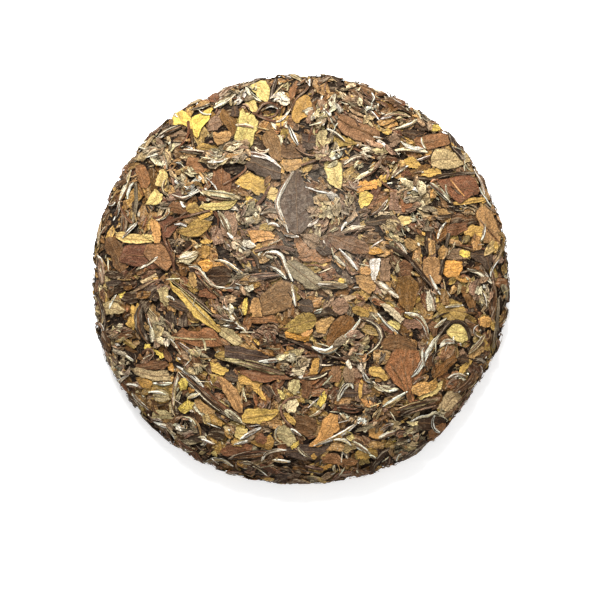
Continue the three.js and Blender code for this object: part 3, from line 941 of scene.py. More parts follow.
    ("olive", (-58.8, 21.8, -54, 23.6, -52.5, 25.6, -50, 27.9, -45.3, 27.5, -42, 26.5),
     (-58.4, 21, -56.8, 20, -51.6, 19.1, -46.8, 20, -44, 23.2)),
    ("ochre", (-48.8, 28.6, -45.5, 30.5, -42.2, 31.8), (-47.5, 27.2, -44.5, 28.6, -42, 30.4)),
    ("golden", (-47.2, 9.1, -47, 13, -45.3, 15.4), (-45.3, 8.6, -43.6, 10.6, -43.4, 14.4)),
    ("downy", (-58, 10, -54, 12.5, -51, 11.5, -48.8, 10.5), (-57.5, 7, -54, 6, -50, 8.5)),
    ("dark", (-45, 2, -42, 4.5, -37, 5, -33, 3), (-44, -1, -41, -4, -37, -4.2, -33.5, -2.5)),
    ("ochre", (-62.6, -1.4, -59.7, -4.8, -55.9, -6.7, -52, -8.2, -50.1, -11, -46.8, -14.9,
      -43.4, -18.2, -40, -22.6, -37.6, -25.9),
     (-62.1, -4.3, -59.7, -7.7, -56.4, -10.6, -54, -13.9, -50.6, -18.7, -47.7, -21.1, -44.4, -22.6,
      -41.5, -24.5, -39.5, -26.4)),
    ("rust", (-63, -28, -59.7, -26.8, -56.4, -23.9, -53, -25.3, -48.2, -26.4, -45.3, -23,
      -42.4, -24, -39.6, -27, -37.2, -31.7),
     (-63, -28.8, -58.8, -29.4, -54, -31.4, -49.2, -32.7, -44.4, -33.1, -39.6, -33.2, -37, -32.4)),
    ("redBrown", (-48, -6.5, -44, -5, -40, -8.5), (-48.5, -9, -44, -10, -40, -10.2)),
    ("tan", (-51, -5.5, -53.4, -1, -53, 2), (-49.3, -4, -49.8, 0, -51, 2.4)),
    ("ochre", (-81, -23.3, -83.7, -22.1, -81.8, -19.7, -80.4, -15.8, -80.8, -12),
     (-78, -24.2, -78, -18.2, -76.5, -15.4, -76.4, -12)),
    ("beige", (-96.8, -12.6, -90.4, -10.6, -86.6, -11.5, -83.2, -15.6),
     (-96.7, -15.4, -94.8, -17.3, -87.6, -16.9, -83.6, -16.2)),
    ("yellow", (-87.5, -5.6, -85, -6.8, -83.6, -5.7), (-86.8, -7.6, -85, -9.8, -83.2, -8.6)),
    ("charcoal", (-62.6, -11, -59.5, -12.3, -54.5, -15), (-62.3, -13.5, -58, -15.5, -54, -16.5)),
    ("beige", (-64, -14, -68, -9, -67.5, -5.5, -64, -4.5), (-62.6, -13, -62.8, -8, -63, -4.8)),
    ("orange", (-25.5, 22.3, -20.2, 22.2, -14, 21.7, -12.5, 19.5),
     (-23.6, 18.5, -23.6, 14.8, -21.4, 16.8, -16.8, 17.2, -13, 18)),
    ("taupe", (-0.5, 20.3, 3.8, 21.2, 9.6, 18.8, 10.6, 15),
     (0.5, 18.5, 2.4, 15.5, 5, 13.5, 10, 13.4)),
    ("rust", (-1.2, 19.8, 1.4, 16.8, 3.8, 13.9, 2.6, 10.4), (-3.6, 18.2, -2.4, 13.9, -0.8, 10.5)),
    ("rust", (-1.6, 9.3, 3.8, 13, 7.2, 13.4, 11, 12, 14.6, 10),
     (-1.4, 8.7, 0.5, 7.6, 4.8, 7.1, 10.1, 6.6, 14, 7.5)),
    ("brown", (11.8, 20, 12.5, 23.2, 18.7, 23.6, 20.6, 20, 26.4, 18.8, 31.2, 15.6, 32.4, 13),
     (12, 19, 13.9, 15.8, 16.8, 13.2, 21.1, 12.8, 24.5, 11, 30.2, 10.4, 32, 12)),
    ("midTan", (-19.3, -10, -19, -8, -15.4, -5.8, -10.6, -1.3, -7.2, -1.8, -3.4, -3.8, -4, -8),
     (-18.4, -17.5, -17.8, -18.7, -13.4, -17.8, -9.1, -16.3, -4.8, -14.6, -4.2, -10)),
    ("grey", (-6.5, 7.4, -1.4, 7.8, 1.9, 5.4, 5.8, 2.5, 9.2, -0.5, 10.4, -4.5),
     (-7.3, 6.8, -6.7, 3.4, -4.8, 0.5, -0.5, -2.9, 2.4, -5.3, 7, -6.3)),
    ("charcoal", (-1, -12, 1.5, -10.3, 5, -11, 6, -14), (-0.6, -15, 2, -17, 5.5, -16.5)),
    ("olive", (-8, -24.3, -4.8, -20.6, 0.5, -16.7, 5.8, -17.2, 7.3, -20),
     (-7.4, -25.4, -2.4, -27, 2.4, -26, 5.8, -23.6, 7.2, -21)),
    ("tan", (6.7, -21.6, 10.1, -19.6, 14.9, -19.1, 15.8, -20.4),
     (6.8, -24, 7.2, -26.4, 11, -27.4, 13, -23.5, 15.6, -20.8)),
    ("darkOlive", (12, -32.4, 12, -27.8, 13.9, -23.5, 15.8, -20.5, 18.7, -18.6, 21.6, -18.1),
     (13, -33, 16.3, -31.2, 20.6, -27.8, 24.5, -24.6, 26, -21.2, 24, -19)),
    ("amber", (-7.8, -26, -3, -27, 1, -28.5, 4, -28),
     (-7.2, -28.3, -3, -29.5, 1, -30.8, 3.6, -30.2)),
    ("orange", (0, -27, 3, -25.4, 5.5, -24.8), (0.4, -28, 3.4, -28, 5.4, -26)),
    ("yellow", (17.3, -2, 19, -0.2, 20.9, -2), (17.5, -2.4, 19, -2.8, 21, -2.6)),
    ("tan", (-23, -19, -24.5, -15, -23.5, -11, -22, -9.8), (-18.2, -19, -19, -14, -20, -10)),
    ("white", (34, -1.5, 32.5, 3.5, 32, 7, 33.5, 8.5), (35, -1.5, 37, 4, 37.5, 8.8)),
    ("orange", (28, 4, 30.5, 5.2, 33, 3.5), (28.2, 1.5, 31, 0.8, 33, 1.6)),
    ("tan", (25.5, 0.5, 31.2, 1.5, 36, -0.4), (26.5, -3, 28.8, -6.2, 32.2, -8.7, 35, -5.8)),
    ("taupe", (14.5, -12, 17, -9.8, 20.5, -10.2, 22.5, -13),
     (15, -16, 18, -18, 21.5, -17.4, 22.6, -14)),
    ("golden", (24, -14.5, 27, -13.6, 30, -15, 32.5, -17.5), (24.5, -17, 28, -18.8, 31.5, -19.2)),
    ("brown", (37.5, -31, 41, -27.5, 46, -27, 50, -29, 54, -32.5),
     (38.5, -34.5, 44, -35, 50, -35.2, 55, -35)),
    ("rust", (52, -61, 48.9, -54.3, 43.3, -49.8, 38.8, -42.5, 42, -37.5, 44.4, -34.3),
     (52.6, -61, 54, -55, 55.8, -51, 57.5, -44.2, 56.5, -38, 55.6, -35)),
    ("straw", (69.1, -25.7, 71.4, -22.2, 77, -21.6, 80.4, -25),
     (69.4, -27, 71.4, -29.2, 75.9, -31.4, 79.2, -29.6)),
    ("olive", (64.1, -15, 66.9, -11.5, 71.4, -9.9, 75.9, -11.5, 78.1, -16),
     (65.8, -18.4, 71.4, -20.7, 77, -20.7, 78.2, -17)),
    ("cream", (62.5, -6.8, 63.5, -11, 63.4, -15.8), (59.4, -6.8, 59, -11, 60, -16)),
    ("ochre", (32, -43.2, 35, -42.3, 38, -42.8, 40.8, -47.6),
     (32.2, -46.8, 36, -47.2, 39, -49, 40.6, -48.8)),
    ("taupe", (22, -44, 25, -41, 29, -41.5, 30.5, -44.5),
     (22.5, -46, 25.5, -48, 29, -47.4, 30.3, -45.5)),
    ("orange", (3.4, -80.7, 8.5, -74.6, 10.1, -67.8, 13.5, -64.4),
     (8.5, -81.3, 13.5, -76.8, 18, -72.3, 17.4, -65.6)),
    ("orange", (32.1, -72.3, 36.5, -69.4, 39.9, -71.2), (32.2, -75.7, 36.5, -76.9, 39.9, -75.5)),
    ("golden", (25.9, -83, 29.8, -80.6, 36, -81.8), (27, -86.4, 30.9, -87, 36.4, -85)),
    ("straw", (55.5, -57, 59, -53.5, 63, -51, 68, -49.4),
     (56, -58, 60, -56.6, 64, -55.8, 66.5, -53)),
    ("darkOlive", (62.4, -47.4, 66.9, -40.7, 73.4, -36.3),
     (64.1, -48.4, 69.1, -45.3, 74.3, -39.6)),
    ("ochre", (74.5, -46.5, 77, -42, 80.3, -38.8), (76.8, -47.2, 79.5, -43.5, 82, -39.8)),
    ("beige", (64.5, -62.5, 68, -57, 70, -54, 74, -54.5), (70, -63.5, 74, -61, 78, -57.5)),
    ("dark", (53.5, -68, 58, -65.5, 64, -65.8, 69, -68.5),
     (54, -71, 59, -72.6, 65, -72.4, 69, -70.5)),
    ("golden", (-78.6, -47.5, -74.7, -46.4, -70.2, -49.6),
     (-77.5, -49, -74.7, -52.2, -71.3, -52.7)),
    ("darkOlive", (-85.9, -32.9, -81.4, -31.8, -75.8, -36.3, -74.6, -37.8),
     (-85.4, -37.5, -82.6, -40.9, -79.2, -38.7, -75, -38.4)),
    ("ochre", (-43.2, -40.2, -38.7, -41.3, -34.2, -44),
     (-42.1, -44.9, -37.6, -46.6, -34.4, -44.8)),
    ("tan", (-39.9, -46.8, -34.2, -48.6, -29.7, -54.2, -27.4, -59.9, -28, -64.3),
     (-40, -47.6, -35.4, -56.6, -32, -62.2, -28.8, -64.5)),
    ("charcoal", (-36, -45.5, -33, -44, -29.8, -46.5), (-35.5, -48, -32, -50, -29.7, -49)),
    ("ochre", (-29.7, -48.5, -27.5, -45.8, -23, -47.5, -18, -49.7),
     (-28.6, -51, -25.3, -51, -20.8, -52.7, -18.4, -50.5)),
    ("ochre", (-28, -66, -26.4, -62.7, -18.5, -62.1, -10.6, -63.2),
     (-27.6, -68.8, -19.6, -69.6, -12.9, -66.8, -10.8, -64)),
    ("straw", (-31.4, -71.1, -28, -71.4, -25.3, -72.2), (-31.4, -75.1, -28.6, -78, -26, -75.5)),
    ("golden", (-24.1, -77.8, -18.5, -77.3, -14.6, -74.5, -12.8, -77.8),
     (-23.5, -79, -19.6, -80.8, -14.6, -83.1, -13, -79.5)),
    ("beige", (-12.3, -72.2, -8.4, -69.9, -3.9, -73.3), (-10.6, -76.9, -5.6, -80.8, -2.2, -78)),
    ("yellow", (-57, -53.5, -58, -50, -56.5, -47.8), (-54, -53, -53.2, -49.5, -55, -47.6)),
    ("redBrown", (-38.7, -82.3, -34.2, -78.9, -27.5, -77.8, -23, -80.1),
     (-37, -84.6, -32, -85.3, -24.1, -84.8)),
    ("charcoal", (-55.6, -73, -51, -71, -45.5, -73), (-54.5, -77, -50, -78.3, -45.8, -77)),
    ("straw", (40.5, 23.3, 43.5, 26, 46, 28.9, 49, 29.4, 52.5, 29.3),
     (41, 23, 46, 23.8, 50, 25, 53, 26.6)),
    ("tan", (86.5, 17.2, 87, 22, 83.8, 27, 82.5, 31.5, 85.5, 34.5),
     (94.5, 16.2, 95, 22, 93.2, 27, 91.5, 32, 88.5, 34.8)),
    ("ochre", (77, 22, 80, 25.2, 84, 25.4, 87.2, 23.5), (77.5, 20.5, 82, 19.5, 87, 20)),
    ("charcoal", (79.5, 11.8, 84.5, 14.6, 88.5, 15, 90.6, 11.5, 90.4, 6),
     (80, 11, 82.5, 8.4, 86, 7, 87.5, 4.5, 89.2, 3.8)),
    ("tan", (61, -3.5, 58.5, -0.5, 57.4, 3.5, 57.6, 8, 60, 9.6),
     (65.5, -3, 66.4, 0, 66.6, 5, 65.5, 8.8, 63, 9.6)),
    ("brown", (46, 6.5, 48, 8, 51, 8.2, 52.5, 4.5), (47.5, 1, 50, -0.5, 52.6, 1)),
    ("darkOlive", (52, 0.8, 56, -4, 54.8, -9, 52.6, -15.6),
     (46, 0, 44.6, -6, 46, -12, 49.8, -16.6)),
    ("downy", (37, -12.5, 41, -13, 45, -16, 48.5, -20), (38.5, -14.5, 43, -18.5, 47, -21.8)),
    ("taupe", (48, -20.5, 52, -20, 56, -20.6, 57.5, -23.5),
     (48.5, -23, 50.5, -24.6, 54, -24.5, 57, -24.4)),
    ("brown", (58.5, -19.6, 61.5, -20, 65, -22.5, 64.5, -27.5), (59, -22, 61, -25.5, 62.5, -28.2)),
    ("straw", (41, -20.5, 44.5, -20.8, 47.2, -23, 46, -25), (40.6, -21.5, 43, -23.2, 45.6, -25)),
    ("taupe", (68.5, 11, 70, 14.2, 75, 14, 79.5, 13.5), (69, 8.6, 74, 8.4, 78.5, 9.2)),
    ("yellow", (75, 12.8, 77.5, 13.2, 80, 12.4), (75.2, 10.8, 78, 9.4, 80, 10.4)),
    ("amber", (67, 3, 68, 7.6, 72, 8.1, 77, 7.8), (67.5, 1.5, 69.5, 0, 74, 0.2, 76.4, 3.5)),
    ("tan", (70, 18.5, 75, 18, 79, 15.6, 82, 13.5), (70.5, 16, 75, 15.5, 79, 13.8)),
    ("redBrown", (69, 24.5, 73, 25.6, 78, 26.5, 79, 24), (69, 20, 73, 20, 76, 21.5, 79, 23)),
    ("tan", (64, 33, 68, 33, 71, 31, 71, 28), (64.5, 31, 66.5, 28, 70, 26)),
    ("orange", (84, -19.5, 87, -17.8, 90, -18.5, 90.2, -22),
     (84.5, -22.5, 87, -23.5, 89.5, -23.2)),
    ("darkOlive", (76, -4, 79.5, -5, 82.5, -3, 83, -8, 82.5, -14), (75.5, -6, 77, -10, 80, -14.5)),
    ("taupe", (37, -2, 37.5, 4, 38, 8.8), (42, -2, 42.3, 4, 41.5, 9)),
    ("beige", (-82, -42.6, -76, -42.4, -70, -44.5, -63, -44.2),
     (-81, -43.6, -76, -46.8, -70, -48.5, -61.5, -49.2)),
    ("brown", (-79, -41, -74, -40.8, -69, -39, -64, -39.6),
     (-78, -42, -72, -43.6, -66, -43.8, -62, -41.5)),
    ("yellow", (-74, -31.6, -71.8, -31.2, -71, -33), (-74, -33.2, -72.5, -34, -71.2, -33.6)),
    ("yellow", (-70, -33.8, -67.5, -35, -65.2, -36, -65, -38),
     (-69.4, -34.8, -67.5, -37, -66, -38.6)),
    ("brown", (-64.5, -33.5, -62.5, -35, -61, -39, -61.8, -40),
     (-65, -35, -64.5, -38, -62.6, -40)),
    ("tan", (-50.5, -58, -47, -56.5, -43, -59.5, -40.5, -63, -42, -65),
     (-49.5, -61, -47.5, -63.5, -44, -65.2)),
    ("brown", (-50, -63.5, -47.5, -65, -45.5, -68), (-50, -66, -48.5, -69, -46, -69)),
    ("yellow", (-57, -63.5, -54.5, -61.5, -53.5, -57),
     (-56, -64.4, -52.5, -63.5, -51.4, -62, -53, -58)),
    ("amber", (-53.2, -52, -51, -53, -50, -53), (-53, -54.5, -52, -55, -50.2, -53.8)),
    ("straw", (-43, -83.5, -41, -82.5, -40, -84, -39.5, -88), (-42.6, -85, -41, -87, -40, -88.5)),
    ("redBrown", (-53, -45, -48, -50, -42, -55.5, -36, -60.5, -32, -63.5),
     (-54, -47, -50, -51.8, -43.5, -58, -38, -62.5, -33, -66.5)),
    ("charcoal", (-36, -32, -30, -33, -22, -34.5, -15, -38),
     (-36, -37.5, -28, -39, -22, -39.8, -16, -39.2)),
    ("redBrown", (-29, -44.2, -22, -44, -14, -45, -7, -47, -3, -48),
     (-28.5, -45.6, -24, -48.5, -19, -50, -12, -49, -4, -48.6)),
    ("ochre", (-24, -52, -20, -52, -17.5, -56, -16.5, -58.5),
     (-23, -53.2, -20.5, -55, -18.6, -58)),
    ("charcoal", (-17.5, -51, -15, -52.5, -12.6, -55.5, -14, -57),
     (-18.8, -52, -17, -55, -14.8, -57)),
    ("yellow", (-5, -80.5, -3, -79, -1, -78), (-4.6, -82, -2.5, -81, -1.2, -79.6)),
    ("charcoal", (-7, -82, 0, -79.5, 8, -80, 16, -80.5), (-8, -85, 0, -87.5, 6, -87, 10, -84.5)),
    ("rust", (10, -86, 14, -83.5, 18, -85, 20, -87.5), (10.4, -89, 15, -89.8, 20, -89.6)),
    ("amber", (8, -91, 12, -90, 15.5, -89.6), (9, -92.4, 12, -92, 15, -90.6)),
    ("golden", (4.6, -85.5, 6, -84.2, 7.5, -85.6), (5, -86.4, 6.4, -87, 7.4, -86.2)),
    ("taupe", (21.5, -50, 19.5, -47, 20, -43.5, 22, -42),
     (25, -50.5, 25.5, -47, 24, -43, 22.6, -42)),
    ("midTan", (13.5, -49.5, 13, -46, 15, -42.5), (18, -50, 19, -46, 17.5, -42.5)),
    ("golden", (3, -46.5, 5, -42, 6, -38.5), (7.5, -46, 8.2, -42, 8.6, -38.4)),
    ("downy", (-5, -44.5, -2, -40.5, 0, -38.6), (1, -46, 3.5, -41.5, 5, -38.6)),
    ("beige", (-6.5, -53, -6, -50, -3.5, -48.6), (-3, -56, -0.5, -53, -0.6, -49)),
    ("brown", (0.4, -57, 0.2, -52, 1, -49), (3.5, -58, 5, -54, 4.6, -49.4)),
    ("downy", (-8, -61.5, -6, -58.4, -2, -58), (-6, -64.5, -3, -64, -1.2, -60)),
    ("brown", (-5, -68.5, -2, -65.5, 3, -65.4, 7, -67.5, 7.6, -72),
     (-3.5, -71, -1.5, -74, 2.6, -76.2, 6, -74.5)),
    ("ochre", (-8.4, -64.5, -6, -64.5, -2.4, -68.6), (-8, -66, -5.5, -69, -3, -70.6)),
    ("redBrown", (-22, -77, -19, -74, -16, -76.5), (-21, -78.6, -18, -79.5, -16.4, -78.4)),
    ("golden", (-33, -78, -31, -76, -28.5, -78.5), (-33, -79.6, -30, -80.4, -28, -80.6)),
    ("straw", (-11, -53, -9, -54.5, -7.5, -56.4), (-10.5, -55, -9.4, -58, -8, -57.6)),
    ("taupe", (47, -62.6, 54, -60.6, 60, -57.6, 66.5, -57),
     (48, -63.2, 55, -62.4, 61, -60.8, 66, -58.4)),
    ("orange", (37.6, -71, 38, -68, 40, -67), (39.6, -72.4, 40.8, -70, 40.6, -67.6)),
    ("yellow", (43.6, -78, 45, -76, 47, -75.6), (44, -78.4, 46, -78.2, 47, -76.6)),
    ("rust", (60.5, -73, 64, -70.5, 69, -68.8), (61, -76, 65, -74.5, 69, -71.5)),
    ("tan", (80, -38, 81, -35, 84, -33, 87, -32.5), (82, -38.4, 85, -36.5, 87.5, -34)),
    ("rust", (70.5, -48.5, 72, -45.5, 74.8, -44.6), (71.5, -48.4, 74, -47, 75, -46)),
    ("dark", (74.5, -38, 77, -36.8, 80, -38.4), (74.6, -39.6, 77, -41, 80, -40.4)),
]

# Yellow and pale leaves lie over the rolls and stalks, the rest lie under them
upperTones = ("yellow", "straw", "amber", "orange", "beige", "downy", "cream", "white")

# Where crumpled leaves, warm scraps and dark ones lie thick: x, y, how far they spread
palePatches = [
    (22, 86, 9), (30, 80, 6), (12, 79, 7), (-32, 60, 5), (12, 30, 9), (13, 60, 6), (36, 58, 8),
    (58, 30, 7), (52, 40, 7), (60, 80, 6), (24, -32, 6), (-55, 46, 6), (-72, 64, 6),
    (-66, -26, 6), (-50, -40, 6), (-26, 30, 6), (-4, -40, 5), (-30, 14, 6), (44, 22, 5),
    (86, -6, 5), (-88, -28, 6), (51, -81, 8), (-57, -73, 7), (-30, 90, 8), (-28, -3, 6),
    (-38, -16, 5), (33, -68, 6), (-66, 60, 6), (-87, -41, 6), (25, -38, 5), (21, 33, 5),
    (51, -75, 5), (-29, 59, 5), (8, 77, 4), (-42, 57, 4),
]
warmPatches = [
    (76, 0, 8), (76, 14, 8), (64, 8, 7), (93, 19, 6), (59, -55, 8), (-45, -64, 7), (17, -78, 7),
    (68, -14, 5),
]
darkPatches = [
    (-92, -2, 7), (-10, -96, 8), (12, 17, 7), (-81, -7, 6), (-19, 49, 6), (-80, 6, 6),
    (-73, -9, 4), (40, 59, 5), (45, 85, 6), (6, 10, 6),
]

# Midribs and fine stems on the leaves: tone, width, then the points of their middle line
faceRibs = [
    ("rust", 0.7, (-37.9, 42.4, -37.6, 54)), ("dark", 0.5, (-28.8, 62.6, -22.6, 76)),
    ("rust", 0.6, (-66.5, 45, -64, 51)), ("orange", 0.7, (70.8, 46.8, 77.5, 39.1)),
    ("dark", 0.6, (70.8, 43.9, 75.6, 40)), ("beige", 0.8, (-63, -28, -52, -29.5, -40, -29.5)),
    ("brown", 0.8, (85, 28, 90, 22, 94, 18)), ("brown", 0.9, (70, 16, 76, 15.4, 82, 12.5)),
    ("brown", 0.5, (51, -60, 48, -50, 42, -41)), ("brown", 0.4, (51, -58, 50, -48, 47, -37)),
    ("brown", 0.4, (51.5, -58, 53, -48, 53, -37)), ("rust", 0.5, (22, 95, 29, 94, 35, 91)),
    ("orange", 0.6, (5, -80, 11, -73, 15, -66)),
    ("ochre", 0.5, (-26, -66.5, -19, -66, -12, -64.6)), ("brown", 0.6, (17, 77, 25, 72, 35, 68)),
    ("beige", 0.5, (-57, -6, -50, -14, -42, -22)),
]

# Rolled and twisted leaves, in the same way
faceRolls = [
    ("dark", 4, (-69, 67, -62, 71, -55, 74)), ("grey", 2, (-58, 60.5, -50, 60, -42, 59)),
    ("darkRed", 2, (-50, 44, -44, 38)), ("beige", 4.5, (-47, 40.5, -38, 39, -29, 37.5)),
    ("charcoal", 2.5, (3, 97, -2, 93)), ("dark", 2, (-3, 62, 3, 57.5, 9, 58, 14, 68)),
    ("dark", 2.2, (42, 89, 47, 87, 52, 84)), ("taupe", 3, (-84, -8, -76, -6, -70, -2, -66, -1)),
    ("charcoal", 4.5, (-74, -11, -77, -17, -76, -25, -72, -31)),
    ("beige", 6, (-73, -14, -69, -23, -65, -32)),
    ("pink", 4.5, (-93, -26, -87, -25.5, -81, -24.5)), ("rust", 4, (-50, 3, -44, -3, -37, -10)),
    ("dark", 2.2, (-62, -1, -54, -7, -45, -15, -36, -22)),
    ("charcoal", 4, (-34, -2, -22, -0.5, -10, 1)),
    ("charcoal", 2.8, (29, -20, 35, -22, 39, -28, 36, -33, 32, -36)),
    ("grey", 3.5, (-93, -32, -90, -38, -84, -43)),
    ("dark", 4, (-57, -45, -50, -52, -42, -60, -33, -66)),
    ("beige", 4, (-36, -39, -25, -41, -8, -46)), ("dark", 2, (0, -48, 8, -48, 14, -44)),
    ("cream", 3.5, (-36, -63, -32, -66, -28, -69)), ("dark", 3, (17, -62, 24, -64, 30, -62)),
    ("dark", 4.5, (-35, -86, -25, -85, -15, -84)), ("beige", 2.8, (45, -63, 55, -60, 65, -58)),
    ("dark", 2.5, (46, -65.5, 55, -62.5, 64, -60.5)), ("brown", 3, (91, 4, 92, -8, 91, -20)),
    ("darkOlive", 2.5, (-85, 33, -83, 27, -84, 21)), ("beige", 3.5, (-59, 7.5, -54, 9.5, -49, 12)),
    ("taupe", 3, (20, 26, 24, 23, 29, 22)), ("brown", 2.6, (62, 30, 67, 28, 72, 30)),
    ("grey", 2.6, (-62, 79, -56, 84, -50, 88)), ("taupe", 3, (24, 88, 31, 87, 37, 83)),
]

# Downy shreds
faceShreds = [
    ("cream", 4, (-41, 82, -36.5, 86, -31, 90)), ("cream", 2, (-52, 81, -47, 82.5, -42, 84)),
    ("grey", 2.2, (-79, 62, -72, 65, -65, 68)), ("beige", 2, (-87, 36, -84, 44, -80, 52)),
    ("white", 1.6, (-13, 85, -10, 86.5, -6, 85)), ("white", 2, (-57, 36, -55, 33)),
    ("grey", 4, (-80, 56, -76, 60, -71, 62)), ("cream", 3, (61, 44.5, 66, 41, 71, 36)),
    ("grey", 3.5, (8, -3.5, 15, -4, 22, -4.5)), ("cream", 3.5, (-31, -21, -36, -13)),
    ("beige", 3, (-36, -13, -31, -21, -26, -26)), ("cream", 3, (35, -2, 41, -6, 46, -10)),
    ("downy", 3.4, (45, 61, 54, 62, 60, 60)), ("downy", 3, (-58, 9, -53, 10, -48, 12)),
    ("grey", 3.5, (-39, 31, -36, 26, -33, 19)), ("cream", 3, (79, 4, 85, 3, 90, -2)),
    ("cream", 3, (61, -6, 61.5, -11, 63, -16)), ("beige", 2, (-58, -46, -60, -53, -60, -60)),
    ("downy", 3, (30, 24, 24, 23, 19, 21)), ("beige", 3, (37, -76, 42, -74, 48, -73)),
    ("downy", 3, (34, -50, 37, -53, 42, -52)), ("grey", 3, (-30, 88, -25, 94, -20, 96)),
    ("cream", 2.4, (66, -33, 69, -30, 73, -31)), ("downy", 2.6, (40, 78, 46, 80, 52, 78)),
    ("beige", 3, (-95, -22, -93, -16, -96, -10)), ("grey", 2.5, (-20, 30, -14, 32, -9, 30)),
    ("downy", 2.4, (26, 47, 33, 50, 38, 55)), ("cream", 2.4, (20, 54, 26, 58, 33, 58)),
    ("beige", 3, (80, -36, 84, -32, 87, -27)), ("grey", 3, (-46, -88, -39, -86, -33, -90)),
]

# Buds and other white strands
faceBuds = [
    ("white", 1.5, (-61, 55, -58, 55.5, -55, 54)), ("cream", 1.8, (-61, 39.5, -56, 37, -49, 41)),
    ("cream", 2.2, (-26.5, 92, -24, 88, -19, 85)), ("grey", 1.6, (-19, 80, -15, 83.5, -11, 81)),
    ("cream", 1.5, (-12, 74.5, -9, 75.5, -5, 81)), ("white", 1.8, (10.3, 88, 7, 80, 2, 73.5)),
    ("white", 1.5, (13, 79, 14.5, 75.5, 16, 72)), ("white", 1.6, (30, 82.5, 34, 80, 37.5, 76)),
    ("white", 1.5, (38, 76.5, 43, 77.5)), ("white", 2.4, (-6, 73, -4, 68, -1.5, 63)),
    ("white", 2.8, (-40, 55.5, -33, 58.5, -25, 59.5, -15, 57, -9.5, 52)),
    ("white", 2.4, (-3.5, 50.5, -9, 42, -12, 35, -9, 28, -6, 21)),
    ("white", 1.8, (2, 43, 8, 41, 14, 40, 18, 36, 19, 30)),
    ("cream", 2, (45, 71.5, 50, 73, 59, 79)), ("white", 2, (47.5, 65.5, 51, 62, 58, 61.5)),
    ("white", 1.4, (55, 56, 58, 57, 62, 58.5)), ("white", 1.5, (34, 90, 35, 87, 33, 84)),
    ("cream", 1.9, (43, 47.5, 47, 51.5, 51, 53.5)),
    ("cream", 2.1, (41, 45, 47, 45.5, 51, 43.5, 55, 46.5)),
    ("white", 1.8, (45, 43, 50, 40.5, 54, 40.5)), ("white", 1.7, (33, 29.5, 37, 31, 41, 37)),
    ("white", 2, (-60, 25, -56.5, 26, -54, 24)),
    ("cream", 1.7, (-53, 5, -48, 4.5, -45, -1, -41, -5, -36, -5)),
    ("white", 1.9, (-41, 8, -36, 7.5, -30, 3, -25, 0)),
    ("white", 1.7, (-36, -5.5, -31, -4.5, -23, -6.5)), ("white", 2.1, (-35, 21, -31, 17, -25, 12)),
    ("white", 1.9, (-16, 25, -13.5, 25.5, -10, 24)), ("white", 1.6, (-8, 20, -4.5, 19.5, -1, 19)),
    ("white", 2.4, (3, 24, 5, 25, 8.5, 28)), ("white", 1.8, (26.5, 30, 24, 27, 20, 25, 19, 22)),
    ("white", 2.1, (-17, 11.5, -12, 12, -9, 10, -7.5, 5, -4, -2)),
    ("white", 2, (-16, 5.5, -11, 3, -7, -1)), ("cream", 2, (-4.5, -3.5, -3.5, -9, -2.5, -14)),
    ("white", 2, (6, -17, 9, -16, 10, -15)),
    ("white", 3, (5, -33, 10, -35.5, 14, -35, 20, -30, 26, -24, 28, -20)),
    ("white", 1.6, (-37, -23, -32, -23.5, -27, -24.5)), ("white", 2, (18, 13.5, 22, 9, 27, 3)),
    ("cream", 2.4, (15, 10.5, 18, 8, 21, 5)), ("grey", 2, (24, -5.5, 28, -5.5)),
    ("cream", 2.6, (49, -17, 56, -19, 59, -24, 60, -28)),
    ("white", 1.4, (36, -17, 41, -23, 46, -27)), ("cream", 2, (42, 20.5, 46, 16, 50, 11)),
    ("cream", 1.8, (63, -24, 66, -22, 69, -19)), ("white", 2, (85.5, -3, 84, -8, 86, -13)),
    ("cream", 2.4, (60, -36, 63, -31, 66, -27)), ("white", 1.9, (-83, -50, -80, -50.5, -77, -51)),
    ("white", 2, (-70, -50, -65.5, -50.5, -61, -50)),
    ("white", 1.9, (-80, -54, -76, -59, -72, -62.5)),
    ("cream", 2.4, (-70, -68, -65, -70, -60, -72)), ("cream", 1.8, (-58, -66, -52, -67, -50, -70)),
    ("white", 2.1, (-59, -42, -52, -46, -46, -52)),
    ("white", 2.1, (-58, -31, -53, -35, -47, -39.5)),
    ("white", 1.6, (-53, -56, -51, -56, -49, -55)),
    ("cream", 1.8, (-49, -76, -46, -75.5, -45, -78.5, -48, -80)),
    ("white", 2.2, (-20, -40, -15, -40, -9, -39)),
    ("white", 2.2, (-29, -77, -24, -74, -19, -71.5)), ("white", 1.8, (-5, -72, 0, -75.5)),
    ("white", 2.4, (6, -80.5, 15, -77, 22, -73, 27, -69)),
    ("cream", 3, (16, -76.5, 22, -78, 28, -81, 33, -84)),
    ("cream", 2.8, (17, -59, 19, -54, 22, -50.5, 24, -51, 24.5, -53)),
    ("cream", 1.8, (-19, -88, -17, -84, -12, -82.5, -7, -82.5)),
    ("cream", 2.2, (-28, -88, -25.5, -88.5, -23, -89)),
    ("cream", 2.2, (-14, -87.5, -10, -88, -5, -88.8)),
    ("cream", 2, (-22, -90, -16, -93, -10, -96)), ("white", 2.2, (18, -81, 21, -83, 22, -86.5)),
    ("white", 2.6, (52, -47.5, 56, -44, 59, -38, 61, -33)),
    ("white", 1.7, (37, -62, 44, -58, 50.5, -54)),
    ("cream", 1.6, (51, -69, 57, -66, 61, -66, 64, -63.5, 69, -67)),
    ("white", 2.2, (29, -45, 31, -49, 34, -50)), ("cream", 2.2, (37, -52, 41, -54, 46, -53)),
    ("cream", 2, (70, 72, 75, 67, 78, 60)), ("white", 1.8, (82, 52, 86, 46, 88, 40)),
    ("white", 1.8, (-90, 28, -87, 32, -86, 37)), ("cream", 2, (-90, -52, -86, -48, -82, -46)),
    ("cream", 1.8, (70, -48, 74, -46, 79, -47)),
]

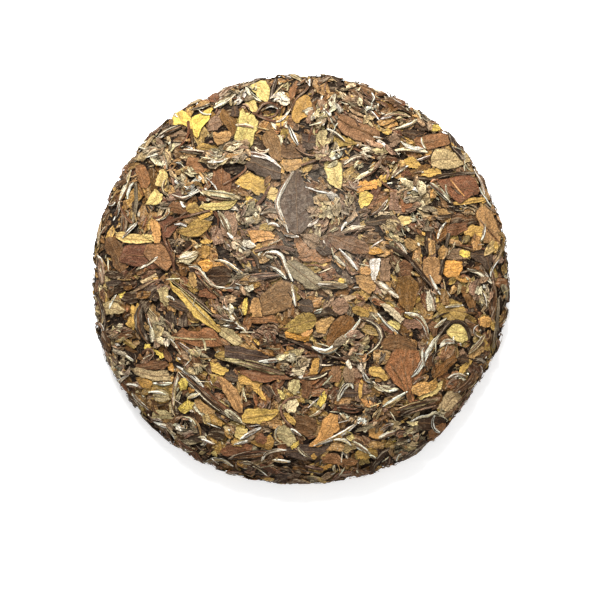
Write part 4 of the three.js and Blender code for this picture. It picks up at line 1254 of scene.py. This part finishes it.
# Stalks and thin stems
faceStalks = [
    ("redBrown", 1.4, (-53.5, 75, -53, 68, -58, 62)), ("brown", 1.4, (-52, 71, -51.5, 63)),
    ("taupe", 1.6, (-67, 66, -63.5, 60, -62.5, 52, -60, 44)),
    ("grey", 1.9, (-78.5, 47, -78, 31, -82, 22)), ("charcoal", 2, (-12, 97, -15, 85)),
    ("darkRed", 1.5, (-21, 79, -18, 84.5, -12, 84, -10.5, 79, -15, 76, -20, 78)),
    ("darkRed", 1.5, (-23, 79, -18, 76, -12, 74.5)),
    ("darkRed", 1.6, (5, 97, 3, 91, -3, 86, -5, 80)), ("redBrown", 1.4, (13.5, 84, 11, 76, 7, 69)),
    ("redBrown", 1.4, (-31, 57, -24.5, 53, -30, 48, -37, 44)),
    ("redBrown", 1.5, (-15, 43.5, -18, 37, -24, 31)), ("darkRed", 1.5, (0, 53, 6, 55.5, 15, 58)),
    ("dark", 1.9, (49, 48, 60, 46, 68, 49, 80, 50.5, 87, 50.5)),
    ("darkRed", 1.5, (-43, 31.5, -55, 29, -63, 26, -66, 22, -64, 15, -61, 10, -60, 3)),
    ("dark", 1.8, (-30, 14, -22, 11, -20, 4)),
    ("darkRed", 2, (-22, 12, -15, 14, -8, 14, -3, 12.5)),
    ("dark", 1.6, (7, -19, 13, -17, 17, -18.5)), ("pink", 1.5, (96, 15, 91, 5)),
    ("grey", 2, (94, -9, 92, -33)), ("dark", 1.9, (70, 21, 68, 12, 66, 1)),
    ("dark", 2.1, (40, 15, 43, 13.5, 49, 11, 53, 6, 59, -1, 63, -6)),
    ("dark", 2.1, (66, -27, 70, -21.5, 75, -20.5, 79, -24, 80, -29)),
    ("pink", 1.6, (90, -9, 86, -16)), ("darkRed", 1.4, (-75, -36, -72, -33, -69, -36, -72, -39)),
    ("taupe", 1.2, (-1, -75, -5, -71, -9.5, -66, -10, -62, -7, -58, -3, -57)),
    ("darkRed", 1.5, (-13, -36, -7, -38, 8, -37.5)), ("dark", 1.6, (-5, -30, 9, -36, 25, -41)),
    ("dark", 1.3, (36.5, -70.5, 39, -67.8, 41.8, -70.5, 39, -73.3)),
    ("redBrown", 1.4, (75, -60, 80, -56, 84, -50)), ("darkRed", 1.5, (20, 92, 27, 90, 30, 84)),
    ("redBrown", 1.4, (-88, 40, -84, 30, -80, 26)), ("darkRed", 1.4, (30, 64, 36, 60, 44, 60)),
    ("dark", 1.5, (-96, -8, -92, -18, -94, -28)), ("redBrown", 1.3, (60, -78, 67, -73, 74, -66)),
]

# where the drawn pieces lie and which way they run
drawnWays = []
for drawn in (faceRolls, faceShreds, faceBuds, faceStalks):
    for _, _, points in drawn:
        line = fromAbove(np.array(points, float).reshape(-1, 2))
        for a, b in zip(line, line[1:]):
            drawnWays.append([*(a + b) / 2, math.degrees(math.atan2(*(b - a)[::-1]))])
drawnWays = np.array(drawnWays)


faceHabits = {
    "scrapUnder": 9,  # mm of length
    "stripUnder": 0.35,  # of the length
    "bend": 12,
    "tornShare": 0.65,
    "tornWider": 1.1,
    "wider": 1.08,
    "blunt": (0.02, 0.15),
    "power": 0.7,
    "skew": (0.7, 1.4),
    "shade": 0.06,
}


def layFaceLeaves():
    habit = faceHabits
    for x, y, length, width, turn, tone in faceLeaves:
        name = "yellowLeaves" if tone in yellowTones else "broadLeaves"
        pile = piles["leafScraps" if length < habit["scrapUnder"] else name]
        look = looks["strip" if width < habit["stripUnder"] * length else "leaf"]
        line = arcLine(x, y, length, turn, rng.normal(0, habit["bend"]), pile.along)
        if rng.random() < habit["tornShare"]:
            half = tornWidths(width * habit["tornWider"], pile.along)
        else:
            blunt = rng.uniform(*habit["blunt"], 2)
            skew = rng.uniform(*habit["skew"])
            half = widths(width * habit["wider"], pile.along, blunt, habit["power"], skew)
        layLeaf(pile, fromAbove(line), half, toned(tone, habit["shade"]), look, keep=True)


drawnHabits = {
    "leafShade": 0.05,
    "shade": 0.08,
    "blunt": (0.5, 1.5),  # of the other end
    "skew": (0.75, 1.3),
    "wide": 2.5,  # mm from which a bud or roll has one more strand
}


def layDrawnLeaves(upper):
    for tone, left, right in drawnLeaves:
        if (tone in upperTones) == upper:
            pile = piles["yellowLeaves" if tone in yellowTones else "broadLeaves"]
            layBetween(pile, left, right, toned(tone, drawnHabits["leafShade"]), looks["leaf"])


def layDrawn(pileName, lookName, drawn, lay, blunt, power, strands=None):
    pile = piles[pileName]
    for tone, width, points in drawn:
        line = fromAbove(drawnLine(points, pile.along))
        ends = (blunt, blunt * rng.uniform(*drawnHabits["blunt"]))
        half = widths(width, pile.along, ends, power, rng.uniform(*drawnHabits["skew"]))
        tone = toned(tone, drawnHabits["shade"])
        lay(pile, line, half, tone, looks[lookName], keep=True)
        if strands:
            more = int(width > drawnHabits["wide"])
            layStrands(line, width, strands + more, strandShares)


# The face, from what lies deepest to what lies on top
faceReach = 121.0
strewLeaves(
    "bedLeaves", "bed", bedShares, spread(330, faceReach, 4), length=(12, 22), shape=(0.4, 0.7)
)
strewLeaves(
    "leafScraps", "scrap", leafShares, spread(1000, faceReach, 3),
    length=(6, 14), shape=(0.35, 0.75),
)
strewTufts(spread(130, faceReach, 4), (5, 12), tuftShares)
strewLeaves(
    "topScraps", "scrap", scrapShares, spread(900, faceReach, 3),
    length=(3, 9), shape=(0.35, 0.85),
)
printLevel("bed", back=False)
strewTufts(spread(110, faceReach, 4), (3, 8), tuftShares)
layFaceLeaves()
layDrawnLeaves(upper=False)
layDrawn("fibres", "rib", faceRibs, layLeaf, blunt=0.1, power=0.4)
layDrawn("rolledLeaves", "roll", faceRolls, layTube, blunt=0.04, power=0.6, strands=2)
strewTubes(
    "stalks", "stalk", stalkShares, spread(150, faceReach, 4),
    length=(6, 18), width=(0.8, 1.4), bend=70, gapsOnly=True,
)
layDrawnLeaves(upper=True)
layDrawn("downyShreds", "shred", faceShreds, layLeaf, blunt=0.05, power=0.6, strands=1)
layDrawn("stalks", "stalk", faceStalks, layTube, blunt=0.3, power=0.3)
layDrawn("silverBuds", "bud", faceBuds, layTube, blunt=0.04, power=0.7, strands=1)
strewTufts(spread(130, faceReach, 4), (3, 7), paleTufts, gapsOnly=True)
for shares, patches in ((warmShares, warmPatches), (bedShares, darkPatches)):
    for x, y, reach in patches:
        strewLeaves(
            "topScraps", "scrap", shares, spotsNear(x, y, reach, 9),
            length=(4, 9), shape=(0.4, 0.8), gapsOnly=True,
        )
for x, y, reach in palePatches:
    spots = spotsNear(x, y, reach, 12)
    strewLeaves("topScraps", "shred", paleTufts, spots[:8], length=(3, 8), shape=(0.3, 0.7))
    strewTufts(spots[8:], (3, 7), paleTufts)
strewTubes(
    "silverBuds", "bud", budShares, spread(110, faceReach, 4, low=60),
    length=(4, 11), width=(0.9, 1.9), bend=70, strands=1,
)
strewTubes(
    "rolledLeaves", "roll", rollShares, spread(110, faceReach, 4, low=92),
    length=(8, 18), width=(2, 5), bend=40, gapsOnly=True,
)
strewLeaves(
    "crumbs", "crumb", crumbShares, spread(3600, faceReach, 2),
    length=(0.6, 2.2), shape=(0.35, 0.9), gapsOnly=True,
)
strewLeaves(
    "fibres", "fibre", fibreShares, spread(600, faceReach, 3),
    length=(2.5, 7), shape=(0.06, 0.12), gapsOnly=True,
)
printLevel("face", back=False)

# The back
backReach = 95.0
strewLeaves(
    "bedLeaves", "bed", bedShares, spread(220, backReach, 4),
    length=(12, 22), shape=(0.35, 0.7), back=True,
)
strewLeaves(
    "broadLeaves", "leaf", leafShares, spread(70, backReach, 4),
    length=(12, 26), shape=(0.3, 0.6), back=True,
)
strewLeaves(
    "backScraps", "scrap", scrapShares, spread(700, backReach, 3),
    length=(4, 12), shape=(0.25, 0.6), back=True,
)
strewTufts(spread(80, backReach, 4), (5, 12), tuftShares, back=True)
strewLeaves(
    "broadLeaves", "leaf", leafShares, spread(55, backReach, 4),
    length=(14, 28), shape=(0.3, 0.55), back=True,
)
strewTubes(
    "rolledLeaves", "roll", rollShares, spread(60, backReach, 4),
    length=(10, 22), width=(2, 5), bend=30, back=True,
)
strewTubes(
    "silverBuds", "bud", budShares, spread(80, backReach, 4),
    length=(8, 20), width=(1.2, 2.6), bend=50, strands=1, back=True,
)
strewTubes(
    "stalks", "stalk", stalkShares, spread(70, backReach, 4),
    length=(8, 22), width=(1, 1.8), bend=60, back=True,
)
strewLeaves(
    "crumbs", "crumb", crumbShares, spread(900, backReach, 2),
    length=(0.8, 2.4), shape=(0.35, 0.9), back=True,
)
printLevel("back", back=True)
meanLevels = {side: blurred(levels[side], pressing["radius"]) for side in levels}


# Shader nodes: add one and feed its inputs, by number, with values or with other sockets
def node(tree, kind, feeds=None, **settings):
    made = tree.nodes.new(kind)
    for name, value in settings.items():
        setattr(made, name, value)
    for number, value in (feeds or {}).items():
        if isinstance(value, bpy.types.NodeSocket):
            tree.links.new(value, made.inputs[number])
        else:
            made.inputs[number].default_value = value
    return made


def mix(tree, blend, amount, first, second):
    feeds = {0: amount, 6: first, 7: second}
    made = node(tree, "ShaderNodeMix", feeds, data_type="RGBA", blend_type=blend)
    made.clamp_result = False
    return made.outputs[2]


# band: where the change starts and where it is full
def remap(tree, value, band, toLow=0.0, toHigh=1.0):
    feeds = {0: value, 1: band[0], 2: band[1], 3: toLow, 4: toHigh}
    made = node(tree, "ShaderNodeMapRange", feeds)
    made.interpolation_type = "SMOOTHSTEP"
    return made.outputs[0]


def maths(tree, operation, a, b=0.0):
    return node(tree, "ShaderNodeMath", {0: a, 1: b}, operation=operation).outputs[0]


def times(tree, a, b):
    return maths(tree, "MULTIPLY", a, b)


def plus(tree, a, b):
    return maths(tree, "ADD", a, b)


def vectorMath(tree, operation, feeds):
    return node(tree, "ShaderNodeVectorMath", feeds, operation=operation)


def cloud(tree, place, scale, detail=3.0, rough=0.6, warp=0.0):
    feeds = {0: place, 2: scale, 3: detail, 4: rough, 8: warp}
    return node(tree, "ShaderNodeTexNoise", feeds).outputs[0]


def offMiddle(tree, value):
    return maths(tree, "ABSOLUTE", maths(tree, "SUBTRACT", value, 0.5))


# a thin line wherever the value passes its middle
def fineLine(tree, value, width):
    return remap(tree, offMiddle(tree, value), (width, width * 0.3))


def warped(tree, place, scale, reach):
    push = node(tree, "ShaderNodeTexNoise", {0: place, 2: scale, 3: 2.0}).outputs[1]
    push = vectorMath(tree, "SUBTRACT", {0: push, 1: (0.5, 0.5, 0.5)}).outputs[0]
    push = vectorMath(tree, "SCALE", {0: push, 3: reach}).outputs[0]
    return vectorMath(tree, "ADD", {0: place, 1: push}).outputs[0]


def stretched(tree, place, scale):
    return node(tree, "ShaderNodeMapping", {0: place, 3: scale}).outputs[0]


# Where each pattern starts to show and where it is full
bands = {
    "mottle": (0.3, 0.7),
    "grit": (0.36, 0.64),
    "paintedEdgeHighlight": (0.3, 0.4),
    "paintedEdgeShade": (0.43, 0.5),
    "paleLine": (0.53, 0.6),
    "darkLine": (0.48, 0.41),
    "crack": (0.09, 0.03),
    "crackPatch": (0.45, 0.6),
    "rib": (0.45, 0.2),  # mm from the middle of the leaf
    "vein": (0.94, 0.99),
    "speck": (0.16, 0.1),
    "paintedSheen": (0.052, 0.006),  # metres from its middle
    "sheenPatch": (0.35, 0.6),
}
# painted sheen: a pale veil mixed into the colour over the middle of the face, standing in for the
# lamp's glare on the pressed leaves
paintedSheen = {"at": (0.004, 0.024, 0.024), "most": 0.21, "thin": 0.35, "colour": (0.4, 0.34, 0.27, 1)}
cracking = {"warpScale": 400, "warpReach": 0.0014, "depth": 0.3}
creasing = {"width": 0.03, "strength": 0.7}
veining = {"slant": -0.9, "wander": 2.0, "often": 1.7, "faint": 0.5, "height": 0.35}
specks = {"scale": 330.0, "most": 0.5}


def teaFinish(name, look):
    finish = bpy.data.materials.new(name)
    finish.use_nodes = True
    tree = finish.node_tree
    shader = tree.nodes["Principled BSDF"]
    place = node(tree, "ShaderNodeTexCoord").outputs[3]
    tone = node(tree, "ShaderNodeAttribute", attribute_name="tone").outputs[0]
    grain = node(tree, "ShaderNodeAttribute", attribute_name="grain").outputs[1]
    lines = cloud(tree, stretched(tree, grain, look["lines"]), 1.0, 2.5, 0.55, 0.3)
    mottle = cloud(tree, place, look["mottleScale"], 3.0, 0.55)
    grit = cloud(tree, place, look["gritScale"], 2.0, 0.6)
    wrinkle = cloud(tree, place, look["wrinkleScale"], 3.0, 0.6, 0.8)
    shade = leafShade(tree, look, mottle, grit)
    grey = node(tree, "ShaderNodeCombineColor", {0: shade, 1: shade, 2: shade}).outputs[0]
    colour = mix(tree, "MULTIPLY", 1.0, tone, grey)
    paleLine = remap(tree, lines, bands["paleLine"], 0, look["paleLines"])
    colour = mix(tree, "MIX", paleLine, colour, look["paleColour"])
    darkLine = remap(tree, lines, bands["darkLine"], 0, look["darkLines"])
    # the creases and cracks darken the colour: painted shade in the creases and the leaves' own
    # dark cracks
    creases = leafCreases(tree, look, place, wrinkle, mottle)
    dark = maths(tree, "MAXIMUM", creases, darkLine)
    colour = mix(tree, "MIX", dark, colour, look["darkColour"])
    raised = times(tree, lines, look["lineHeight"])
    height = plus(tree, raised, times(tree, wrinkle, look["wrinkleHeight"]))
    height = maths(tree, "SUBTRACT", height, times(tree, creases, cracking["depth"]))
    if look["veins"]:
        rib = leafVeins(tree, grain, mottle)
        colour = mix(tree, "MIX", times(tree, rib, look["veins"]), colour, look["veinColour"])
        height = plus(tree, height, times(tree, rib, veining["height"]))
        speck = node(tree, "ShaderNodeTexVoronoi", {0: place, 2: specks["scale"]}).outputs[0]
        speck = remap(tree, speck, bands["speck"], 0, specks["most"])
        colour = mix(tree, "MIX", speck, colour, look["darkColour"])
    # painted sheen over the middle of the face, thinner where the wrinkle noise is low
    away = vectorMath(tree, "DISTANCE", {0: place, 1: paintedSheen["at"]}).outputs[1]
    sheenShare = remap(tree, away, bands["paintedSheen"], 0, paintedSheen["most"])
    sheenShare = times(tree, sheenShare, remap(tree, wrinkle, bands["sheenPatch"], paintedSheen["thin"], 1))
    colour = mix(tree, "MIX", sheenShare, colour, paintedSheen["colour"])
    rough = remap(tree, mottle, bands["mottle"], *look["rough"])
    height = plus(tree, height, times(tree, grit, look["gritHeight"]))
    bump = node(tree, "ShaderNodeBump", {0: look["bump"], 1: 0.001})
    tree.links.new(height, bump.inputs["Height"])
    tree.links.new(colour, shader.inputs["Base Color"])
    tree.links.new(rough, shader.inputs["Roughness"])
    tree.links.new(bump.outputs[0], shader.inputs["Normal"])
    shader.inputs["Specular IOR Level"].default_value = look["shine"]
    return finish


# how light each place is: mottled and gritty, with a painted highlight in a band inside the leaf's
# edge and painted shade at the edge itself, which is partly the leaf's own darker edge
def leafShade(tree, look, mottle, grit):
    leafPlace = node(tree, "ShaderNodeUVMap", uv_map="leafMap").outputs[0]
    margin = node(tree, "ShaderNodeSeparateXYZ", {0: leafPlace}).outputs[1]
    margin = offMiddle(tree, margin)
    shade = remap(tree, mottle, bands["mottle"], 1 - look["mottle"], 1 + look["mottle"])
    for value, band, low, high in (
        (grit, "grit", 1 - look["grit"], 1 + look["grit"]),
        (margin, "paintedEdgeHighlight", 1.0, 1 + 0.25 * look["margin"]),
        (margin, "paintedEdgeShade", 1.0, 1 - look["margin"]),
    ):
        shade = times(tree, shade, remap(tree, value, bands[band], low, high))
    return shade


# dark lines along the wrinkles' creases and along cracks: painted shade in the creases, and the
# leaves' own dark cracks
def leafCreases(tree, look, place, wrinkle, mottle):
    bent = warped(tree, place, cracking["warpScale"], cracking["warpReach"])
    feeds = {0: bent, 2: look["crackScale"]}
    crack = node(tree, "ShaderNodeTexVoronoi", feeds, feature="DISTANCE_TO_EDGE").outputs[0]
    cracks = times(tree, remap(tree, crack, bands["crack"]), look["cracks"])
    cracks = times(tree, cracks, remap(tree, mottle, bands["crackPatch"]))
    creases = times(tree, fineLine(tree, wrinkle, creasing["width"]), creasing["strength"])
    return times(tree, maths(tree, "MAXIMUM", creases, cracks), look["creases"])


# the midrib and the veins that leave it at a slant
def leafVeins(tree, grain, mottle):
    parts = node(tree, "ShaderNodeSeparateXYZ", {0: grain})
    across = maths(tree, "ABSOLUTE", parts.outputs[1])
    slant = plus(tree, parts.outputs[0], times(tree, across, veining["slant"]))
    slant = plus(tree, slant, times(tree, mottle, veining["wander"]))
    vein = maths(tree, "SINE", times(tree, slant, veining["often"]))
    vein = times(tree, remap(tree, vein, bands["vein"]), veining["faint"])
    return maths(tree, "MAXIMUM", remap(tree, across, bands["rib"]), vein)


leafFinish = {
    "mottle": 0.22,
    "mottleScale": 260,
    "grit": 0.27,
    "gritScale": 1600,
    "gritHeight": 0.4,
    "wrinkleScale": 420,
    "wrinkleHeight": 1.0,
    "lines": (0.25, 0.8, 7),
    "lineHeight": 0.5,
    "darkLines": 0.08,
    "darkColour": (0.03, 0.015, 0.007, 1),
    "paleLines": 0.08,
    "paleColour": (0.5, 0.38, 0.24, 1),
    "creases": 0.6,
    "cracks": 0.45,
    "crackScale": 330,
    # strength of the painted highlight inside a leaf's edge and of the painted shade at the edge
    "margin": 0.7,
    "veins": 0.38,
    "veinColour": (0.17, 0.09, 0.04, 1),
    "rough": (0.5, 0.8),
    "bump": 1.0,
    "shine": 0.07,
}
scrapFinish = leafFinish | {
    "veins": 0, "grit": 0.36, "cracks": 0.8, "lines": (0.22, 0.95, 9), "darkLines": 0.34,
    "paleLines": 0.24, "creases": 0.7, "lineHeight": 1.0,
}
rollFinish = leafFinish | {
    "veins": 0, "lines": (0.12, 0.95, 9), "darkLines": 0.7, "paleLines": 0.4,
    "paleColour": (0.45, 0.36, 0.25, 1), "lineHeight": 1.3, "cracks": 0,
}
budFinish = leafFinish | {
    "veins": 0, "lines": (0.1, 1.15, 9), "darkLines": 0.85, "paleLines": 0.8,
    "paleColour": (0.74, 0.72, 0.64, 1), "darkColour": (0.11, 0.065, 0.03, 1),
    "creases": 0.4, "cracks": 0, "lineHeight": 1.3, "rough": (0.6, 0.9), "mottle": 0.12,
}
finishes = {
    "bedLeaves": scrapFinish,
    "broadLeaves": leafFinish,
    "yellowLeaves": leafFinish | {
        "mottle": 0.18, "darkLines": 0.06, "creases": 0.3, "cracks": 0.4,
        "veinColour": (0.3, 0.16, 0.05, 1),
    },
    "leafScraps": scrapFinish,
    "topScraps": scrapFinish,
    "backScraps": scrapFinish,
    "crumpledLeaves": rollFinish | {"darkLines": 0.5},
    "paleShreds": rollFinish | {"darkLines": 0.5},
    "downyShreds": budFinish | {
        "lines": (0.15, 1.0, 9), "paleColour": (0.7, 0.65, 0.54, 1), "paleLines": 0.6,
    },
    "rolledLeaves": rollFinish,
    "silverBuds": budFinish,
    "stalks": rollFinish | {"lines": (0.15, 1.4, 9), "darkLines": 0.5, "paleLines": 0.3},
    "fibres": rollFinish | {"darkLines": 0.2, "paleLines": 0.2, "margin": 0.1},
    "crumbs": scrapFinish,
}


# what the finish reads at each corner: a colour, which holds the painted light and shade of folds,
# ridges and rim, and a place in the leaf's own grain
def giveCorners(mesh, colours, grains):
    tone = mesh.attributes.new("tone", "FLOAT_COLOR", "POINT")
    tone.data.foreach_set("color", colours.astype(np.float32).ravel())
    grain = mesh.attributes.new("grain", "FLOAT_VECTOR", "POINT")
    grain.data.foreach_set("vector", grains.astype(np.float32).ravel())


def newPiece(name, mesh, finish=None):
    piece = bpy.data.objects.new(name, mesh)
    bpy.context.collection.objects.link(piece)
    if finish:
        mesh.materials.append(finish)
    return piece


def finishPile(pile):
    holder = newPiece("row", pile.blank)
    row = holder.modifiers.new("row", "ARRAY")
    row.count = len(pile.x)
    row.use_relative_offset = False
    row.use_constant_offset = True
    row.constant_offset_displace = (2, 0, 0)
    made = holder.evaluated_get(bpy.context.evaluated_depsgraph_get())
    mesh = bpy.data.meshes.new_from_object(made)
    bpy.data.objects.remove(holder)
    x, y, out, back = (np.concatenate(part) for part in (pile.x, pile.y, pile.out, pile.back))
    places = onCake(x, y, pressedDown(x, y, out, back), back)
    mesh.vertices.foreach_set("co", places.astype(np.float32).ravel())
    giveCorners(mesh, np.concatenate(pile.tone), np.concatenate(pile.grain))
    mesh.name = pile.name
    mesh.update()
    print(pile.name, len(pile.x), "pieces,", len(mesh.polygons), "faces")
    return newPiece(pile.name, mesh, teaFinish(pile.name + "Finish", finishes[pile.name]))


# The pressed core: the cake's body a little smaller, lumpy, seen only in the gaps; its near-black
# colour is the dark tea below and painted shade in the gaps between the leaves
core = {
    "sunk": 1.0,
    "rings": 90,
    "steps": 128,
    "lump": 0.5,
    "lumpScale": 140,
    # painted shade: near black, so that the gaps between the leaves read dark
    "colour": "2a1d14",
}


def pressedCore():
    bm = bmesh.new()
    section = zip(*sectionAt(np.linspace(0, wholeRun, core["rings"])))
    points = [
        (max(r - normalR * core["sunk"], 0) * mm, 0, (z - normalZ * core["sunk"]) * mm)
        for r, z, normalR, normalZ in section
    ]
    points[0] = (0, 0, points[0][2])
    points[-1] = (0, 0, points[-1][2])
    row = [bm.verts.new(p) for p in points]
    edges = [bm.edges.new(pair) for pair in zip(row, row[1:])]
    bmesh.ops.spin(
        bm, geom=row + edges, axis=(0, 0, 1), cent=(0, 0, 0), steps=core["steps"],
        angle=2 * math.pi, use_merge=True,
    )
    bmesh.ops.remove_doubles(bm, verts=bm.verts[:], dist=tiny)
    bmesh.ops.recalc_face_normals(bm, faces=bm.faces[:])
    bm.normal_update()
    for vert in bm.verts:
        angle = np.array(math.atan2(vert.co.y, vert.co.x))
        widen = float(widening(angle, math.hypot(vert.co.x, vert.co.y) / mm))
        vert.co += vert.normal * (noise.noise(vert.co * core["lumpScale"]) * core["lump"] * mm)
        vert.co.x = vert.co.x * widen + cake["axis"][0] * mm
        vert.co.y = vert.co.y * widen + cake["axis"][1] * mm
    for face in bm.faces:
        face.smooth = True
    mesh = bpy.data.meshes.new("pressedCore")
    bm.to_mesh(mesh)
    bm.free()
    count = len(mesh.vertices)
    places = np.empty(count * 3, np.float32)
    mesh.vertices.foreach_get("co", places)
    giveCorners(mesh, np.tile([*linear(core["colour"]), 1.0], count), places / mm)
    finish = teaFinish("coreFinish", leafFinish | {"veins": 0, "mottle": 0.5})
    return newPiece("pressedCore", mesh, finish)


pieces = [pressedCore()] + [finishPile(pile) for pile in piles.values()]
for piece in pieces:
    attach(piece, "root")
    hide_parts("tea_cake")
print("cake finished")

# Camera: above the cake, leaning a little towards its lower edge
view = {
    "aim": (-0.0001, -0.0112, 0.012),
    "elevation": 84.5,
    "lens": 150.0,
    "sensor": 36,
    "frameWidth": 0.2862,  # what the picture's width shows at the cake
}


def facing(place, aim):
    return (Vector(aim) - Vector(place)).to_track_quat("-Z", "Y").to_euler()


def placeCamera():
    camera = newPiece("camera", bpy.data.cameras.new("camera"))
    camera.data.lens = view["lens"]
    camera.data.sensor_width = view["sensor"]
    distance = view["lens"] / view["sensor"] * view["frameWidth"]
    up = math.radians(view["elevation"])
    camera.location = Vector(view["aim"]) + distance * Vector((0, -math.cos(up), math.sin(up)))
    camera.rotation_euler = facing(camera.location, view["aim"])
    bpy.context.scene.camera = camera


# Light: a large lamp beyond the cake's upper edge, a weak one opposite and an even white sky
lamps = {
    "key": {"place": (-0.12, 0.62, 0.6), "size": 0.4, "power": 20.2},
    "fill": {"place": (0.4, -0.7, 0.9), "size": 0.8, "power": 4.8},
}
skyStrength = 0.53


def placeLights():
    for name, look in lamps.items():
        lamp = bpy.data.lights.new(name, "AREA")
        lamp.size = look["size"]
        lamp.energy = look["power"]
        holder = newPiece(name, lamp)
        holder.location = look["place"]
        holder.rotation_euler = facing(look["place"], (0, 0, 0))
    world = bpy.data.worlds.new("studio")
    world.use_nodes = True
    sky = world.node_tree.nodes["Background"].inputs
    sky["Color"].default_value = (1, 1, 1, 1)
    sky["Strength"].default_value = skyStrength
    bpy.context.scene.world = world
    bpy.context.scene.view_settings.view_transform = "Standard"


floorFinish = {
    "Base Color": (0.93, 0.93, 0.93, 1),
    "Roughness": 0.9,
    "Emission Color": (1, 1, 1, 1),
    "Emission Strength": 0.3,
}


def layFloor():
    bm = bmesh.new()
    bmesh.ops.create_grid(bm, x_segments=1, y_segments=1, size=3)
    mesh = bpy.data.meshes.new("floor")
    bm.to_mesh(mesh)
    bm.free()
    paint = bpy.data.materials.new("floorPaint")
    paint.use_nodes = True
    for socket, value in floorFinish.items():
        paint.node_tree.nodes["Principled BSDF"].inputs[socket].default_value = value
    floor = newPiece("floor", mesh, paint)


placeCamera()
placeLights()
layFloor()
